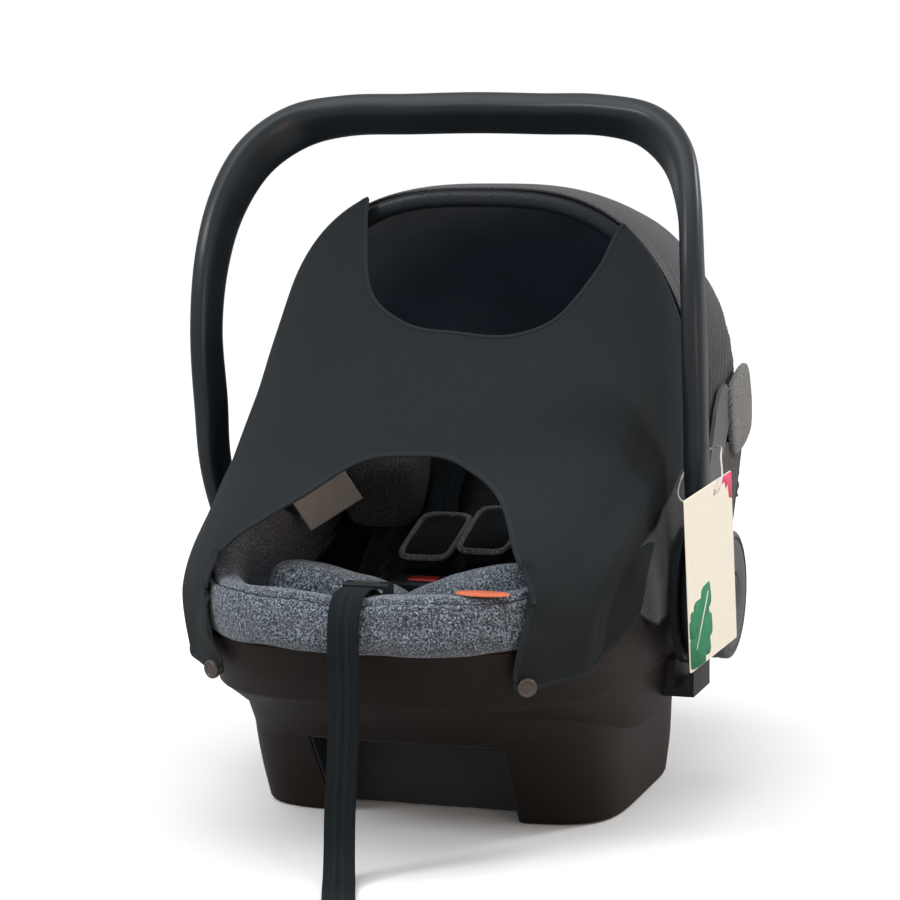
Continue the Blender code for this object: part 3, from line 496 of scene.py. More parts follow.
# Painted light: the navy lining cloth set about ten times lighter than its own colour, standing in for light
# in the shade inside the canopy and seat.
navy_lining_painted_light = satin("navy_lining_painted_light", (0.105, 0.160, 0.225), source="UV")
web = webbing("web", (0.0060, 0.0090, 0.0115))
hoop_leather = leather("hoop_leather", (0.011, 0.015, 0.020), gloss=0.3)
coral_leather = leather("coral_leather", (0.70, 0.17, 0.075), 900, 0.5, 0.25)
white_satin = satin("white_satin", (0.62, 0.62, 0.60))
cream_card = card("cream_card", (0.86, 0.82, 0.71))
green_ink = card("green_ink", (0.035, 0.235, 0.115))
pink_ink = card("pink_ink", (0.78, 0.10, 0.20))
thread = satin("thread", (0.70, 0.69, 0.66))
pale_melange = melange(
    "pale_melange", (0.055, 0.060, 0.070), (0.22, 0.235, 0.26), (0.52, 0.53, 0.56), (0.24, 0.22, 0.21),
)
seam_cloth = jersey("seam_cloth", (0.030, 0.033, 0.040), source="Object", pitch=0.0008)
piping_cloth = jersey("piping_cloth", (0.010, 0.011, 0.013), source="Object", pitch=0.0008)


# ---- mesh helpers ----
def shown(name, data):
    """Puts a mesh, curve, lamp or camera in the scene as an object of that name."""
    thing = bpy.data.objects.new(name, data)
    scene.collection.objects.link(thing)
    return thing


def piece(name, bm, finish, sharp=None):
    """Makes an object of a bmesh. Edges over the angle sharp, in degrees, stay hard."""
    bmesh.ops.recalc_face_normals(bm, faces=bm.faces)
    mesh = bpy.data.meshes.new(name)
    bm.to_mesh(mesh)
    bm.free()
    mesh.materials.append(finish)
    mesh.shade_smooth()
    if sharp:
        mesh.set_sharp_from_angle(angle=math.radians(sharp))
    return shown(name, mesh)


def settle(thing, body, stands_for=()):
    """The piece rides on that body and stands for those nodes."""
    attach(thing, body)
    if stands_for:
        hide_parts(*stands_for)


def repaint(thing, finish):
    thing.data.materials.clear()
    thing.data.materials.append(finish)


def heading(line, i, closed=False):
    """The direction of a line at its point i."""
    if closed:
        return (line[(i + 1) % len(line)] - line[i - 1]).normalized()
    return (line[min(i + 1, len(line) - 1)] - line[max(i - 1, 0)]).normalized()


def squared(direction, ahead):
    """The direction turned square to ahead, and one long."""
    return (direction - ahead * direction.dot(ahead)).normalized()


def oval(middle, first, second, count, powers=(1, 1), start=0.0):
    """A ring of points round middle with these two half axes. Powers under 1 square it off."""
    ring = []
    for k in range(count):
        turn = math.tau * (k + start) / count
        ring.append(
            middle + first * power(math.cos(turn), powers[0]) + second * power(math.sin(turn), powers[1])
        )
    return ring


def loft(rings, ends="caps"):
    """Skin over rings of equal length, with UVs in metres round and along."""
    bm = bmesh.new()
    uv = bm.loops.layers.uv.new("UVMap")
    rows = [[bm.verts.new(point) for point in ring] for ring in rings]
    count = len(rings[0])
    first = [Vector(p) for p in rings[len(rings) // 2]]
    round_length = sum((a - b).length for a, b in zip(first, first[1:] + first[:1]))
    run = [0.0]
    for low, high in zip(rings, rings[1:]):
        run.append(run[-1] + (Vector(high[0]) - Vector(low[0])).length)
    pairs = list(zip(range(len(rows)), range(1, len(rows))))
    if ends == "loop":
        pairs.append((len(rows) - 1, 0))
        run.append(run[-1] + (Vector(rings[0][0]) - Vector(rings[-1][0])).length)
    for a, b in pairs:
        top = run[a + 1]
        for i in range(count):
            j = (i + 1) % count
            face = bm.faces.new((rows[a][i], rows[a][j], rows[b][j], rows[b][i]))
            u0, u1 = round_length * i / count, round_length * (i + 1) / count
            for corner, value in zip(face.loops, ((u0, run[a]), (u1, run[a]), (u1, top), (u0, top))):
                corner[uv].uv = value
    if ends == "caps":
        bm.faces.new(rows[0])
        bm.faces.new(rows[-1])
    return bm


def grid(place, across, along, size=(1.0, 1.0)):
    """An open sheet: place(s, t) gives its points for s and t from 0 to 1. size scales the UVs to metres."""
    bm = bmesh.new()
    uv = bm.loops.layers.uv.new("UVMap")
    rows = [
        [bm.verts.new(place(i / across, j / along)) for i in range(across + 1)]
        for j in range(along + 1)
    ]
    for j, (low, high) in enumerate(zip(rows, rows[1:])):
        for i in range(across):
            face = bm.faces.new((low[i], low[i + 1], high[i + 1], high[i]))
            corners = ((i, j), (i + 1, j), (i + 1, j + 1), (i, j + 1))
            for corner, (a, b) in zip(face.loops, corners):
                corner[uv].uv = (size[0] * a / across, size[1] * b / along)
    return bm


def apply_modifiers(thing):
    """Writes what the modifiers make into the object's own mesh."""
    bpy.context.view_layer.update()
    graph = bpy.context.evaluated_depsgraph_get()
    made = bpy.data.meshes.new_from_object(thing.evaluated_get(graph), preserve_all_data_layers=True,
                                           depsgraph=graph)
    thing.modifiers.clear()
    thing.data = made
    return thing


def rounded(thing, levels=1):
    made = thing.modifiers.new("rounding", "SUBSURF")
    made.levels = levels
    made.render_levels = levels
    return thing


def cloth(name, place, cuts, size, finish, thickness):
    """An open sheet as grid() makes it, with its thickness to both sides."""
    sheet = piece(name, grid(place, *cuts, size), finish)
    made = sheet.modifiers.new("thickness", "SOLIDIFY")
    made.thickness = thickness
    made.offset = 0.0
    return apply_modifiers(sheet)


def softened(thing, width):
    """A bevel for the edges of a plastic part; it changes no vertex of the frame's own mesh."""
    made = thing.modifiers.new("edges", "BEVEL")
    made.width = width
    made.segments = 3
    made.limit_method = "ANGLE"
    made.angle_limit = math.radians(35)
    made.harden_normals = False


def lathe(name, profile, finish, sign=1, steps=72, centre=(HUB_Y, HUB_Z)):
    """Turns a profile of (x, radius) about the X axis through centre. sign mirrors it."""
    rings = []
    for x, radius in profile:
        radius = max(radius, 0.00005)
        middle = Vector((sign * x, *centre))
        rings.append(oval(middle, Vector((0, radius, 0)), Vector((0, 0, radius)), steps))
    return piece(name, loft(rings), finish, 30)


def arc(x, radius, corner, start, stop, steps=5):
    """Points of a rounded corner in a lathe profile, about (x, radius), in degrees."""
    angles = [math.radians(start + (stop - start) * i / steps) for i in range(steps + 1)]
    return [(x + corner * math.cos(a), radius + corner * math.sin(a)) for a in angles]


def tube(name, line, radius, finish, sides=8, closed=False):
    """A round cord of mesh along a line."""
    rings = []
    for i, point in enumerate(line):
        ahead = heading(line, i, closed)
        side = Vector((0, 0, 1)).cross(ahead)
        if side.length < 0.2:
            side = Vector((1, 0, 0)).cross(ahead)
        side.normalize()
        rings.append(oval(point, side * radius, ahead.cross(side) * radius, sides))
    return piece(name, loft(rings, "loop" if closed else "caps"), finish)


# ---- shell and base ----
def plan(angle, half_width, foot, head, power_foot=PLAN_POWER_FOOT, power_head=PLAN_POWER_HEAD):
    reach, exponent = (head, power_head) if math.sin(angle) > 0 else (foot, power_foot)
    return half_width * power(math.cos(angle), 2 / exponent), reach * power(
        math.sin(angle), 2 / exponent
    )


def rim_height(y):
    return FRONT_RIM + (HEAD_RIM - FRONT_RIM) * smooth((y + 0.04) / 0.30)


def plan_angles(count):
    """Angles that put the points of a squarish plan outline at even distances."""
    fine = [math.tau * i / 1440 for i in range(1440)]
    spots = [Vector(plan(angle, *SHELL_LEVELS[-1][1:])) for angle in fine]
    run = [0.0]
    for a, b in zip(spots, spots[1:] + spots[:1]):
        run.append(run[-1] + (b - a).length)
    found = []
    k = 0
    for i in range(count):
        goal = run[-1] * i / count
        while run[k + 1] < goal:
            k += 1
        found.append(math.tau * (k + (goal - run[k]) / (run[k + 1] - run[k])) / 1440)
    return found


OUTLINE = plan_angles(168)


def shell_ring(level, grow=0.0, rise=0.0):
    _, half, foot, head = eased(SHELL_LEVELS, level, 0.035 if level < 0.96 else 0.004)
    ring = []
    for angle in OUTLINE:
        x, y = plan(angle, half + grow, foot + grow, head + grow)
        ring.append((x, y, SHELL_BOTTOM + level * (rim_height(y) - SHELL_BOTTOM) + rise))
    return ring


def make_shell():
    """Tub with a rolled edge at the rim, and a soft step along its knee."""
    rings = []
    for i in range(57):
        level = i / 56
        step = 0.0012 * ridge(level - 0.60, 0.02)
        rings.append(shell_ring(level, step))
    rings += [shell_ring(1.0, *edge) for edge in ((0.0006, 0.0012), (-0.0004, 0.0020), (-0.0026, 0.0020))]
    rings += [shell_ring(1.0 - i / 14, -SHELL_WALL) for i in range(15)]
    tub = piece("shell_tub", loft(rings), shell_plastic)
    settle(tub, "root", ["seat_shell"])


def base_ring(height, shrink=0.0, at=None):
    """The base's outline at a height. at puts that outline at another height."""
    _, half, foot, head, *squareness = eased(BASE_LEVELS, height, 0.004)
    sizes = (half - shrink, foot - shrink, head - shrink)
    return [(*plan(angle, *sizes, *squareness), height if at is None else at) for angle in OUTLINE]


def cut(thing, other, operation="DIFFERENCE"):
    """Applies a Boolean with other, and removes other."""
    made = thing.modifiers.new("cut", "BOOLEAN")
    made.object = other
    made.operation = operation
    made.solver = "EXACT"
    apply_modifiers(thing)
    bpy.data.objects.remove(other, do_unlink=True)


def block(name, low, high, finish, edge):
    """A box between two corners, its edges rounded."""
    bm = bmesh.new()
    bmesh.ops.create_cube(bm, size=1.0)
    low, high = Vector(low), Vector(high)
    bmesh.ops.scale(bm, vec=high - low, verts=bm.verts)
    bmesh.ops.translate(bm, vec=(low + high) / 2, verts=bm.verts)
    bmesh.ops.bevel(bm, geom=bm.edges[:], offset=edge, segments=3, profile=0.7, affect="EDGES")
    return piece(name, bm, finish, 40)


def make_base():
    heights = [0.0030 + 0.119 * i / 34 for i in range(35)]
    outer = [base_ring(0.0, shrink, at) for shrink, at in ((0.0030, 0.0), (0.0009, 0.0009), (0.0, 0.0030))]
    outer += [base_ring(height) for height in heights]
    inner = [base_ring(height, 0.005) for height in reversed(heights[2:])]
    flange = [base_ring(0.006, 0.0060), base_ring(0.006, 0.016), base_ring(0.0, 0.016)]
    base = piece("base_body", loft(outer + inner + flange, "loop"), shell_plastic)
    mouth = block("mouth_form", (-RECESS_HALF, -0.34, -0.02), (RECESS_HALF, RECESS_BACK, RECESS_TOP),
                  shell_plastic, 0.004)
    cut(base, mouth)
    base.data.set_sharp_from_angle(angle=math.radians(32))
    settle(base, "root", ["lower_base"])

    for side, sign in SIDES:
        near, far = sorted((sign * 0.02, sign * 0.1495))
        rib = block(f"base_rib_{side}", (near, -0.014, 0.001), (far, 0.014, 0.028), shell_plastic, 0.002)
        settle(rib, "root")


make_shell()
make_base()

# ---- every frame node that keeps its own shape ----
KEPT = [
    ("front_recess", dark_plastic, 0.0015), ("rear_belt_guide", grey_plastic, 0.0030),
    ("adjuster_slot", black_plastic, 0.0012), ("adjuster_button", button_plastic, 0.0006),
    ("buckle_housing", black_plastic, 0.0015), ("buckle_button", red_plastic, 0.0006),
    ("foam_liner", foam_board, 0.0),
    ("base_lock_bar_front", zinc, 0.0006), ("base_lock_bar_rear", zinc, 0.0006),
    ("canopy_rib", zinc, 0.0),
]
KEPT_PAIRS = (
    ("hub_housing", black_plastic, 0.0018), ("belt_guide", black_plastic, 0.0050),
    ("canopy_mount", grey_plastic, 0.0008), ("pivot_pin", zinc, 0.0),
    ("lock_ring", zinc, 0.0), ("lock_spring", zinc, 0.0), ("buckle_tongue", zinc, 0.0005),
    ("base_screw_front", zinc, 0.0004), ("base_screw_rear", zinc, 0.0004),
)
KEPT += [(f"{stem}_{side}", finish, edge) for side, _ in SIDES for stem, finish, edge in KEPT_PAIRS]
for node_name, finish, edge in KEPT:
    repaint(nodes[node_name], finish)
    if edge:
        softened(nodes[node_name], edge)


# ---- handle ----
def make_handle():
    """Flat oval bow with a crowned face, a fine parting groove and a round boss at each end."""
    half = [Vector(row[:3]) for row in HANDLE_LINE]
    other = [Vector((-p.x, p.y, p.z)) for p in half[:-1]]
    steps = 9
    line = smooth_line(half + other[::-1], steps)
    tilts, broads, thins, flares = ([row[k] for row in HANDLE_LINE] for k in range(3, 7))
    sections = list(zip(tilts, broads, thins))
    sections = smooth_line(sections + sections[-2::-1], steps)
    flares = smooth_line([(flare, 0, 0) for flare in flares + [-flare for flare in flares[-2::-1]]], steps)
    around = 52
    rings = []
    for i, point in enumerate(line):
        ahead = heading(line, i)
        tilt, wide, deep = sections[i]
        tilt = math.radians(tilt)
        broad = squared(Vector((flares[i].x, -math.cos(tilt), math.sin(tilt))), ahead)
        thin = ahead.cross(broad)
        ring = []
        for k in range(around):
            angle = math.tau * k / around
            groove = 0.0006 * (ridge(math.sin(angle), 0.055) if math.cos(angle) < 0 else 0.0)
            ring.append(
                point
                + broad * (wide - groove) * power(math.cos(angle), 0.62)
                + thin * (deep - groove) * power(math.sin(angle), 0.70)
            )
        rings.append(ring)
    bow = piece("handle_arch", loft(rings), handle_plastic)
    settle(bow, "handle", ["handle_bow"])
    for side, sign in SIDES:
        profile = [(0.1916, 0.0066), (0.1916, 0.0475)]
        profile += arc(0.1966, 0.0475, 0.0050, 180, 90)
        profile += arc(0.2120, 0.0495, 0.0030, 90, 0)
        profile += [(0.2150, 0.0310), (0.1965, 0.0302), (0.1965, 0.0066)]
        boss = lathe(f"handle_boss_{side}", profile, handle_plastic, sign)
        settle(boss, "handle")

        cap = [(0.2154, 0.0170), (0.2154, 0.0500)]
        cap += arc(0.2169, 0.0512, 0.0015, 180, 90, 4)
        cap += arc(0.2215, 0.0497, 0.0030, 90, 25, 5)
        cap += [(0.2248, 0.0492), (0.2253, 0.0484), (0.2253, 0.0476), (0.2240, 0.0470), (0.2236, 0.0462),
                (0.2242, 0.0454), (0.2252, 0.0440), (0.2259, 0.0400), (0.2260, 0.0230), (0.2252, 0.0196),
                (0.2232, 0.0180), (0.2180, 0.0172)]
        disc = lathe(f"hub_disc_{side}", cap, disc_plastic, sign)
        settle(disc, "handle", [f"hub_cap_{side}"])

        knob = [(0.2106, 0.0004), (0.2106, 0.0204), (0.2139, 0.0204), (0.2139, 0.0163), (0.2238, 0.0163)]
        knob += arc(0.2241, 0.0143, 0.0020, 80, 10, 4)
        knob += [(0.2254, 0.0118), (0.2246, 0.0100), (0.2250, 0.0060), (0.2252, 0.0002)]
        button = lathe(f"release_knob_{side}", knob, button_plastic, sign, 56)
        settle(button, f"release_{side}", [f"handle_button_{side}"])


make_handle()


# ---- canopy and hoop ----
def canopy_point(angle, swing, inset=0.0):
    squareness = between(CANOPY_POWERS, angle)[1]
    radius = eased(CANOPY_RADII, angle, 6)[1]
    reach = (radius - inset) * power(math.cos(math.radians(swing)), 2 / squareness)
    x = (CANOPY_HALF - inset) * power(math.sin(math.radians(swing)), 2 / squareness)
    turn = math.radians(angle)
    return Vector((x, PIVOT_Y + reach * math.sin(turn), PIVOT_Z + reach * math.cos(turn)))


def arch_swing(share):
    """Swing for a share of the way along the arch, at even distances, from -87 to 87 degrees."""
    return float(np.interp(share, ARCH_SHARES, ARCH_SWINGS))


ARCH_SWINGS = [-87 + 174 * i / 400 for i in range(401)]
arch_spots = [canopy_point(20, swing) for swing in ARCH_SWINGS]
arch_run = np.cumsum([0.0] + [(b - a).length for a, b in zip(arch_spots, arch_spots[1:])])
ARCH_SHARES = arch_run / arch_run[-1]
CANOPY_SIZE = (float(arch_run[-1]), 0.46)


def canopy_skin(share, t):
    """The canopy cloth: taut over hoop and rib, sagging between them, gathered towards its ends."""
    angle = HOOP_ANGLE + 104.5 * t
    swing = arch_swing(share)
    sag = 0.0
    for low, high, depth in ((HOOP_ANGLE, RIB_ANGLE, 0.0030), (RIB_ANGLE, HEAD_ANGLE, 0.0042)):
        if low <= angle <= high:
            sag = depth * math.sin(math.pi * (angle - low) / (high - low)) ** 1.4
    side = smooth((abs(swing) - 38) / 45)
    seam = 0.0016 * ridge(angle - RIB_ANGLE, 1.2) + 0.0010 * ridge(angle - 17, 0.9)
    gather = 0.0012 * side * math.sin(angle * 1.55 + 1.3 * math.sin(swing * 0.09))
    band = ridge(angle - 53, 8.5)
    ribs = 0.0011 * band * math.sin(share * CANOPY_SIZE[0] / 0.0062 * math.tau + 0.8 * math.sin(angle * 0.3))
    loose = 0.0018 * uneven(swing * 0.035, angle * 0.045, 3.1)
    return canopy_point(angle, swing, sag * (1 - 0.5 * side) + seam - gather - ribs - loose)


def canopy_inside(share, t):
    """The lining, a little inside the canopy cloth and slacker."""
    slack = 0.006 * math.sin(math.pi * t) ** 2 + 0.0015 * uneven(share * 6, t * 7, 1.7)
    return canopy_point(-4.0 + 98.0 * t, arch_swing(share) * 0.985, 0.0105 + slack)


def make_canopy():
    cover = cloth("canopy_cover", canopy_skin, (250, 150), CANOPY_SIZE, canopy_tweed, 0.0014)
    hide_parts("canopy_fabric")
    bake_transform(cover)
    lining = cloth("canopy_lining", canopy_inside, (90, 60), CANOPY_SIZE, navy_lining_painted_light, 0.0006)
    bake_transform(lining)

    # Leather-covered hoop: a soft roll that follows the canopy's front edge.
    count = 110
    line = [canopy_point(-5.6, arch_swing(0.004 + 0.992 * i / count), 0.0088) for i in range(count + 1)]
    rings = []
    for i, point in enumerate(line):
        ahead = heading(line, i)
        out = squared(Vector((point.x, point.y - PIVOT_Y, point.z - PIVOT_Z)), ahead)
        front = out.cross(ahead).normalized()
        pucker = 1 + 0.03 * math.sin(i * 2.4) * ridge(abs(i / count - 0.5) - 0.38, 0.1)
        rings.append(oval(point, out * 0.0080 * pucker, front * 0.0088, 20, (0.8, 0.8)))
    roll = piece("hoop_roll", loft(rings), hoop_leather)
    settle(roll, "canopy_hoop", ["canopy_hoop"])


make_canopy()


# ---- sun drape ----
def drape_point(swing, drop):
    """The drape's smooth skin: an arch across at each drop, from 0 at the hoop to 1 at the toes."""
    _, apex_y, apex_z = curved(DRAPE_APEX, drop)
    _, foot_y, foot_z, half, squareness = curved(DRAPE_FOOT, drop)
    rise = power(math.cos(math.radians(swing)), 2 / squareness)
    x = half * power(math.sin(math.radians(swing)), 2 / squareness)
    return Vector((x, foot_y + (apex_y - foot_y) * rise, foot_z + (apex_z - foot_z) * rise))


def drape_coordinates(s, t):
    """s runs across from 0 to 1, t from the hoop or the window's edge down to the hem."""
    side = 2 * s - 1
    top_swing = DRAPE_SWING * side
    top = max(curved(WINDOW_EDGE, top_swing)[1], 0.0)
    _, hem_swing, hem = curved(HEM, side)
    t = 1 - (1 - t) ** 1.25
    swing = top_swing + (hem_swing - top_swing) * t ** TOE_HOOK
    return swing, top + (hem - top) * t


def drape_folds(swing, drop):
    """How far the cloth stands out from its smooth skin: side folds, pull lines and slack."""
    reach = abs(swing)
    side = smooth((reach - 46) / 26) * smooth((drop - 0.25) / 0.3)
    run = (reach - 60) / 9 + drop * 3.4
    folds = 0.0030 * side * math.sin(run * 2.6) * (1 - 0.35 * math.sin(run * 5.1 + 1))
    pull = 0.0007 * smooth((drop - 0.45) / 0.4) * math.sin(swing * 0.26 + drop * 5)
    slack = 0.0009 * uneven(swing * 0.05, drop * 5.5, 7.3)
    return folds + pull * smooth((reach - 14) / 30) + slack * smooth(drop / 0.15)


def clear_of_rim(spot):
    """Moves cloth that lies on the rim out to the face of the padding, or of the shell below it."""
    if spot.y > 0 or spot.z > 0.235:
        return spot
    padded = smooth((spot.z - 0.148) / 0.030)
    rolled_in = smooth((spot.z - 0.200) / 0.030)
    half = 0.1792 - 0.010 * rolled_in
    foot = 0.3150 + 0.0165 * padded - 0.012 * rolled_in
    squareness = PAD_PLAN[3]
    inside = (abs(spot.x) / half) ** squareness + (abs(spot.y) / foot) ** squareness
    if inside >= 1:
        return spot
    grow = inside ** (-1 / squareness)
    return Vector((spot.x * grow, spot.y * grow, spot.z))


def drape_place(s, t):
    """A point of the cloth: the skin with its folds, kept clear of the rim."""
    swing, drop = drape_coordinates(s, t)
    spot = drape_point(swing, drop)
    across = drape_point(min(swing + 0.8, 89.5), drop) - drape_point(swing - 0.8, drop)
    down = drape_point(swing, min(drop + 0.01, 1.0)) - drape_point(swing, max(drop - 0.01, 0.0))
    out = down.cross(across)
    if out.length < 1e-9:
        return spot
    out.normalize()
    if out.y > 0 and out.z < 0:
        out = -out
    return clear_of_rim(spot + out * (drape_folds(swing, drop) + 0.0008))


def edge_band(name, line, inward, width, thick, finish):
    """A folded hem: a thin rounded strip along an edge, width wide towards inward."""
    rings = []
    for i, point in enumerate(line):
        ahead = heading(line, i)
        side = squared(inward[i], ahead)
        middle = point + side * width * 0.42
        rings.append(oval(middle, side * width / 2, ahead.cross(side) * thick / 2, 12, (0.7, 0.7)))
    return piece(name, loft(rings), finish)


def make_drape():
    skin = cloth("drape_cloth", drape_place, (240, 130), (0.60, 0.44), drape_jersey, 0.0009)
    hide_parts("sun_drape")
    hems = []
    whole_edge = [i / 300 for i in range(301)]
    window_part = [0.5 + (-26 + 63.5 * i / 160) / DRAPE_SWING / 2 for i in range(161)]
    for name, shares, t, inner, width in (("drape_hem", whole_edge, 1.0, 0.985, 0.0046),
                                          ("window_hem", window_part, 0.0, 0.015, 0.0034)):
        line = [drape_place(s, t) for s in shares]
        inward = [drape_place(s, inner) - drape_place(s, t) for s in shares]
        hems.append(edge_band(name, line, inward, width, 0.0026, hem_jersey))
    for thing in (skin, *hems):
        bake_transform(thing)


def make_snaps():
    """The studs that hold the drape's toes to the shell."""
    for side, sign in SIDES:
        out = Vector((sign * 0.42, -0.90, -0.12)).normalized()
        place = Vector((sign * 0.1215, -0.272, 0.145)) + out * 0.014
        profile = [(-0.0020, 0.0004), (-0.0020, 0.0074), (0.0004, 0.0075)]
        profile += arc(0.0006, 0.0060, 0.0014, 80, 20, 4)
        profile += [(0.0017, 0.0050), (0.0012, 0.0044), (0.0013, 0.0002)]
        snap = lathe(f"snap_stud_{side}", profile, snap_plastic, 1, 40, (0, 0))
        snap.data.transform(Matrix.Translation(place) @ out.to_track_quat("X", "Z").to_matrix().to_4x4())
        settle(snap, "root", [f"snap_cap_{side}"])


make_drape()
make_snaps()


# ---- padded rim ----
def pad_height(y):
    """The pad's height above the rim: low at the toes, highest at the thighs, gone behind the hubs."""
    return 0.036 + 0.028 * smooth((y + 0.27) / 0.17) - 0.040 * smooth((y + 0.10) / 0.15)


def make_rim_pad():
    """Quilted roll round the rim: a seam along its outer shoulder, puckers, and a dip under the strap."""
    stations, around = 300, 56
    fine = [math.tau * i / 2880 for i in range(2881)]
    line = [Vector(plan(angle, *PAD_PLAN)) for angle in fine]
    run = np.cumsum([0.0] + [(b - a).length for a, b in zip(line, line[1:])])
    angles = np.interp([run[-1] * i / stations for i in range(stations)], run, fine)
    rings = []
    seam_line = []
    for i, angle in enumerate(angles):
        x, y = plan(angle, *PAD_PLAN)
        before = Vector(plan(angle - 0.015, *PAD_PLAN))
        after = Vector(plan(angle + 0.015, *PAD_PLAN))
        along = (after - before).normalized()
        out = Vector((along.y, -along.x, 0))
        low = rim_height(y) + 0.0012
        corner = smooth((abs(x) - 0.105) / 0.040) * ridge(y + 0.235, 0.045)
        high = rim_height(y) + 0.0095 + pad_height(y) + 0.008 * corner
        tall = (high - low) / 2
        middle = Vector((x, y, (high + low) / 2))
        under_strap = ridge(x, 0.020) if y < 0 else 0.0
        sway = uneven(x * 22, y * 22, 0.4)
        pucker = math.sin(run[-1] * i / stations / 0.0115 * math.tau) * (0.6 + 0.6 * sway)
        ring = []
        for k in range(around):
            turn = math.tau * k / around
            side, rise = power(math.cos(turn), 0.70), power(math.sin(turn), 0.74)
            degrees = math.degrees(turn)
            seam = 0.0034 * ridge(degrees - SEAM_TURN, 6.5)
            quilt = 0.0011 * pucker * ridge(degrees - SEAM_TURN, 30)
            swell = 0.0026 * uneven(x * 26, y * 26, turn * 1.1)
            push = quilt + swell - seam + 0.0016 * sway
            radial = (0.0165 + push) * side
            lift = (tall + push) * rise - 0.0055 * under_strap * smooth(rise)
            ring.append(middle + out * radial + Vector((0, 0, lift)))
        rings.append(ring)
        seam_line.append(ring[round(around * SEAM_TURN / 360)])
    pad = piece("rim_cover", loft(rings, "loop"), melange_knit)
    settle(pad, "root", ["rim_pad"])
    settle(tube("rim_seam", seam_line, 0.0010, seam_cloth, 8, closed=True), "root")


make_rim_pad()


# ---- side panels and flaps of the cover ----
def piped_flap(name, piping_name, place, cuts, size, thickness, radius, edge_cuts):
    """A flap of the cover, with piping down its rear edge and forward along its lower edge."""
    flap = cloth(name, place, cuts, size, dark_melange, thickness)
    settle(flap, "root")
    rear, lower = edge_cuts
    edge = [place(1.0, 1 - i / rear) for i in range(rear)]
    edge += [place(1 - i / lower, 0.0) for i in range(lower + 1)]
    piping = tube(piping_name, edge, radius, piping_cloth, 10)
    settle(piping, "root")


def make_side_panels():
    """Inside, a dark lining from rim to canopy; outside, a flap over the hub."""
    for side, sign in SIDES:
        def lining_place(s, t):
            y = -0.115 + 0.285 * s
            low = rim_height(y) + 0.012
            high = 0.236 + 0.080 * smooth((y + 0.115) / 0.20)
            x = 0.1660 + 0.0012 * math.sin(9 * s + 3 * t) - 0.006 * t * (1 - t)
            return Vector((sign * x, y, low + (high - low) * t))

        def flap_place(s, t):
            y = -0.150 + 0.162 * s
            low = 0.1570 + 0.020 * (1 - smooth(s / 0.35)) + 0.004 * s
            high = 0.226 + 0.046 * smooth(s / 0.9)
            tuck = 0.0065 * smooth((-0.098 - y) / 0.045)
            ripple = 0.0006 * math.sin(26 * s + 5 * t) + 0.0005 * uneven(s * 6, t * 5, sign)
            return Vector((sign * (0.1806 - tuck + ripple), y, low + (high - low) * t))

        lining = cloth(f"side_lining_{side}", lining_place, (60, 24), (0.285, 0.09), navy_lining_painted_light, 0.0006)
        settle(lining, "root")
        piped_flap(f"cover_flap_{side}", f"flap_piping_{side}", flap_place, (64, 40), (0.162, 0.10),
                   0.0014, 0.0013, (24, 60))


def make_rear_flaps():
    """Behind each hub, a flap outside the canopy's end."""
    for side, sign in SIDES:
        def flap_place(s, t):
            y = 0.070 + (0.058 + 0.044 * t) * s
            ripple = 0.0004 * math.sin(7 * s + 4 * t)
            return Vector((sign * (0.1895 + 0.0012 * s * t + ripple), y, 0.200 + 0.078 * t))

        piped_flap(f"rear_flap_{side}", f"rear_piping_{side}", flap_place, (40, 30), (0.10, 0.08),
                   0.0016, 0.0012, (30, 40))


make_side_panels()
make_rear_flaps()


# ---- cushions ----
def placed(place, turn):
    """The matrix that turns by these degrees about X, then Y, then Z, and then moves to place."""
    matrix = Matrix.Translation(place)
    for angle, axis in zip(reversed(turn), "ZYX"):
        matrix = matrix @ Matrix.Rotation(math.radians(angle), 4, axis)
    return matrix


def pillow_cage(size, place, turn):
    """A soft block: a cube cut once each way, rounded by subdivision."""
    bm = bmesh.new()
    bmesh.ops.create_cube(bm, size=1.0)
    bmesh.ops.subdivide_edges(bm, edges=bm.edges, cuts=1, use_grid_fill=True)
    bmesh.ops.scale(bm, vec=size, verts=bm.verts)
    bmesh.ops.transform(bm, matrix=placed(place, turn), verts=bm.verts)
    return bm


def inflated(thing, voxel, cap):
    """Swells a closed form as stuffed cloth: remesh, cloth pressure without gravity, and a capped move."""
    remesh = thing.modifiers.new("even", "REMESH")
    remesh.mode = "VOXEL"
    remesh.voxel_size = voxel
    apply_modifiers(thing)
    rest = np.array([v.co for v in thing.data.vertices])
    stuffing = thing.modifiers.new("stuffing", "CLOTH")
    stuffing.settings.effector_weights.gravity = 0.0
    stuffing.settings.use_pressure = True
    stuffing.settings.uniform_pressure_force = 4.0
    stuffing.settings.tension_stiffness = 12.0
    stuffing.settings.compression_stiffness = 12.0
    stuffing.settings.bending_stiffness = 0.4
    stuffing.settings.mass = 0.25
    stuffing.point_cache.frame_start = 1
    stuffing.point_cache.frame_end = CLOTH_FRAMES
    for step in range(1, CLOTH_FRAMES + 1):
        scene.frame_set(step)
    graph = bpy.context.evaluated_depsgraph_get()
    moved = np.array([v.co for v in thing.evaluated_get(graph).data.vertices])
    scene.frame_set(1)
    thing.modifiers.clear()
    shift = moved - rest
    far = np.linalg.norm(shift, axis=1, keepdims=True)
    shift *= np.minimum(1.0, cap / np.maximum(far, 1e-9))
    move_points(thing.data, rest + shift)
    return rounded(thing, 1)


def move_points(mesh, places):
    mesh.vertices.foreach_set("co", places.astype(np.float32).ravel())
    mesh.update()


def places_and_normals(mesh):
    return (np.array([v.co for v in mesh.vertices]), np.array([v.normal for v in mesh.vertices]))


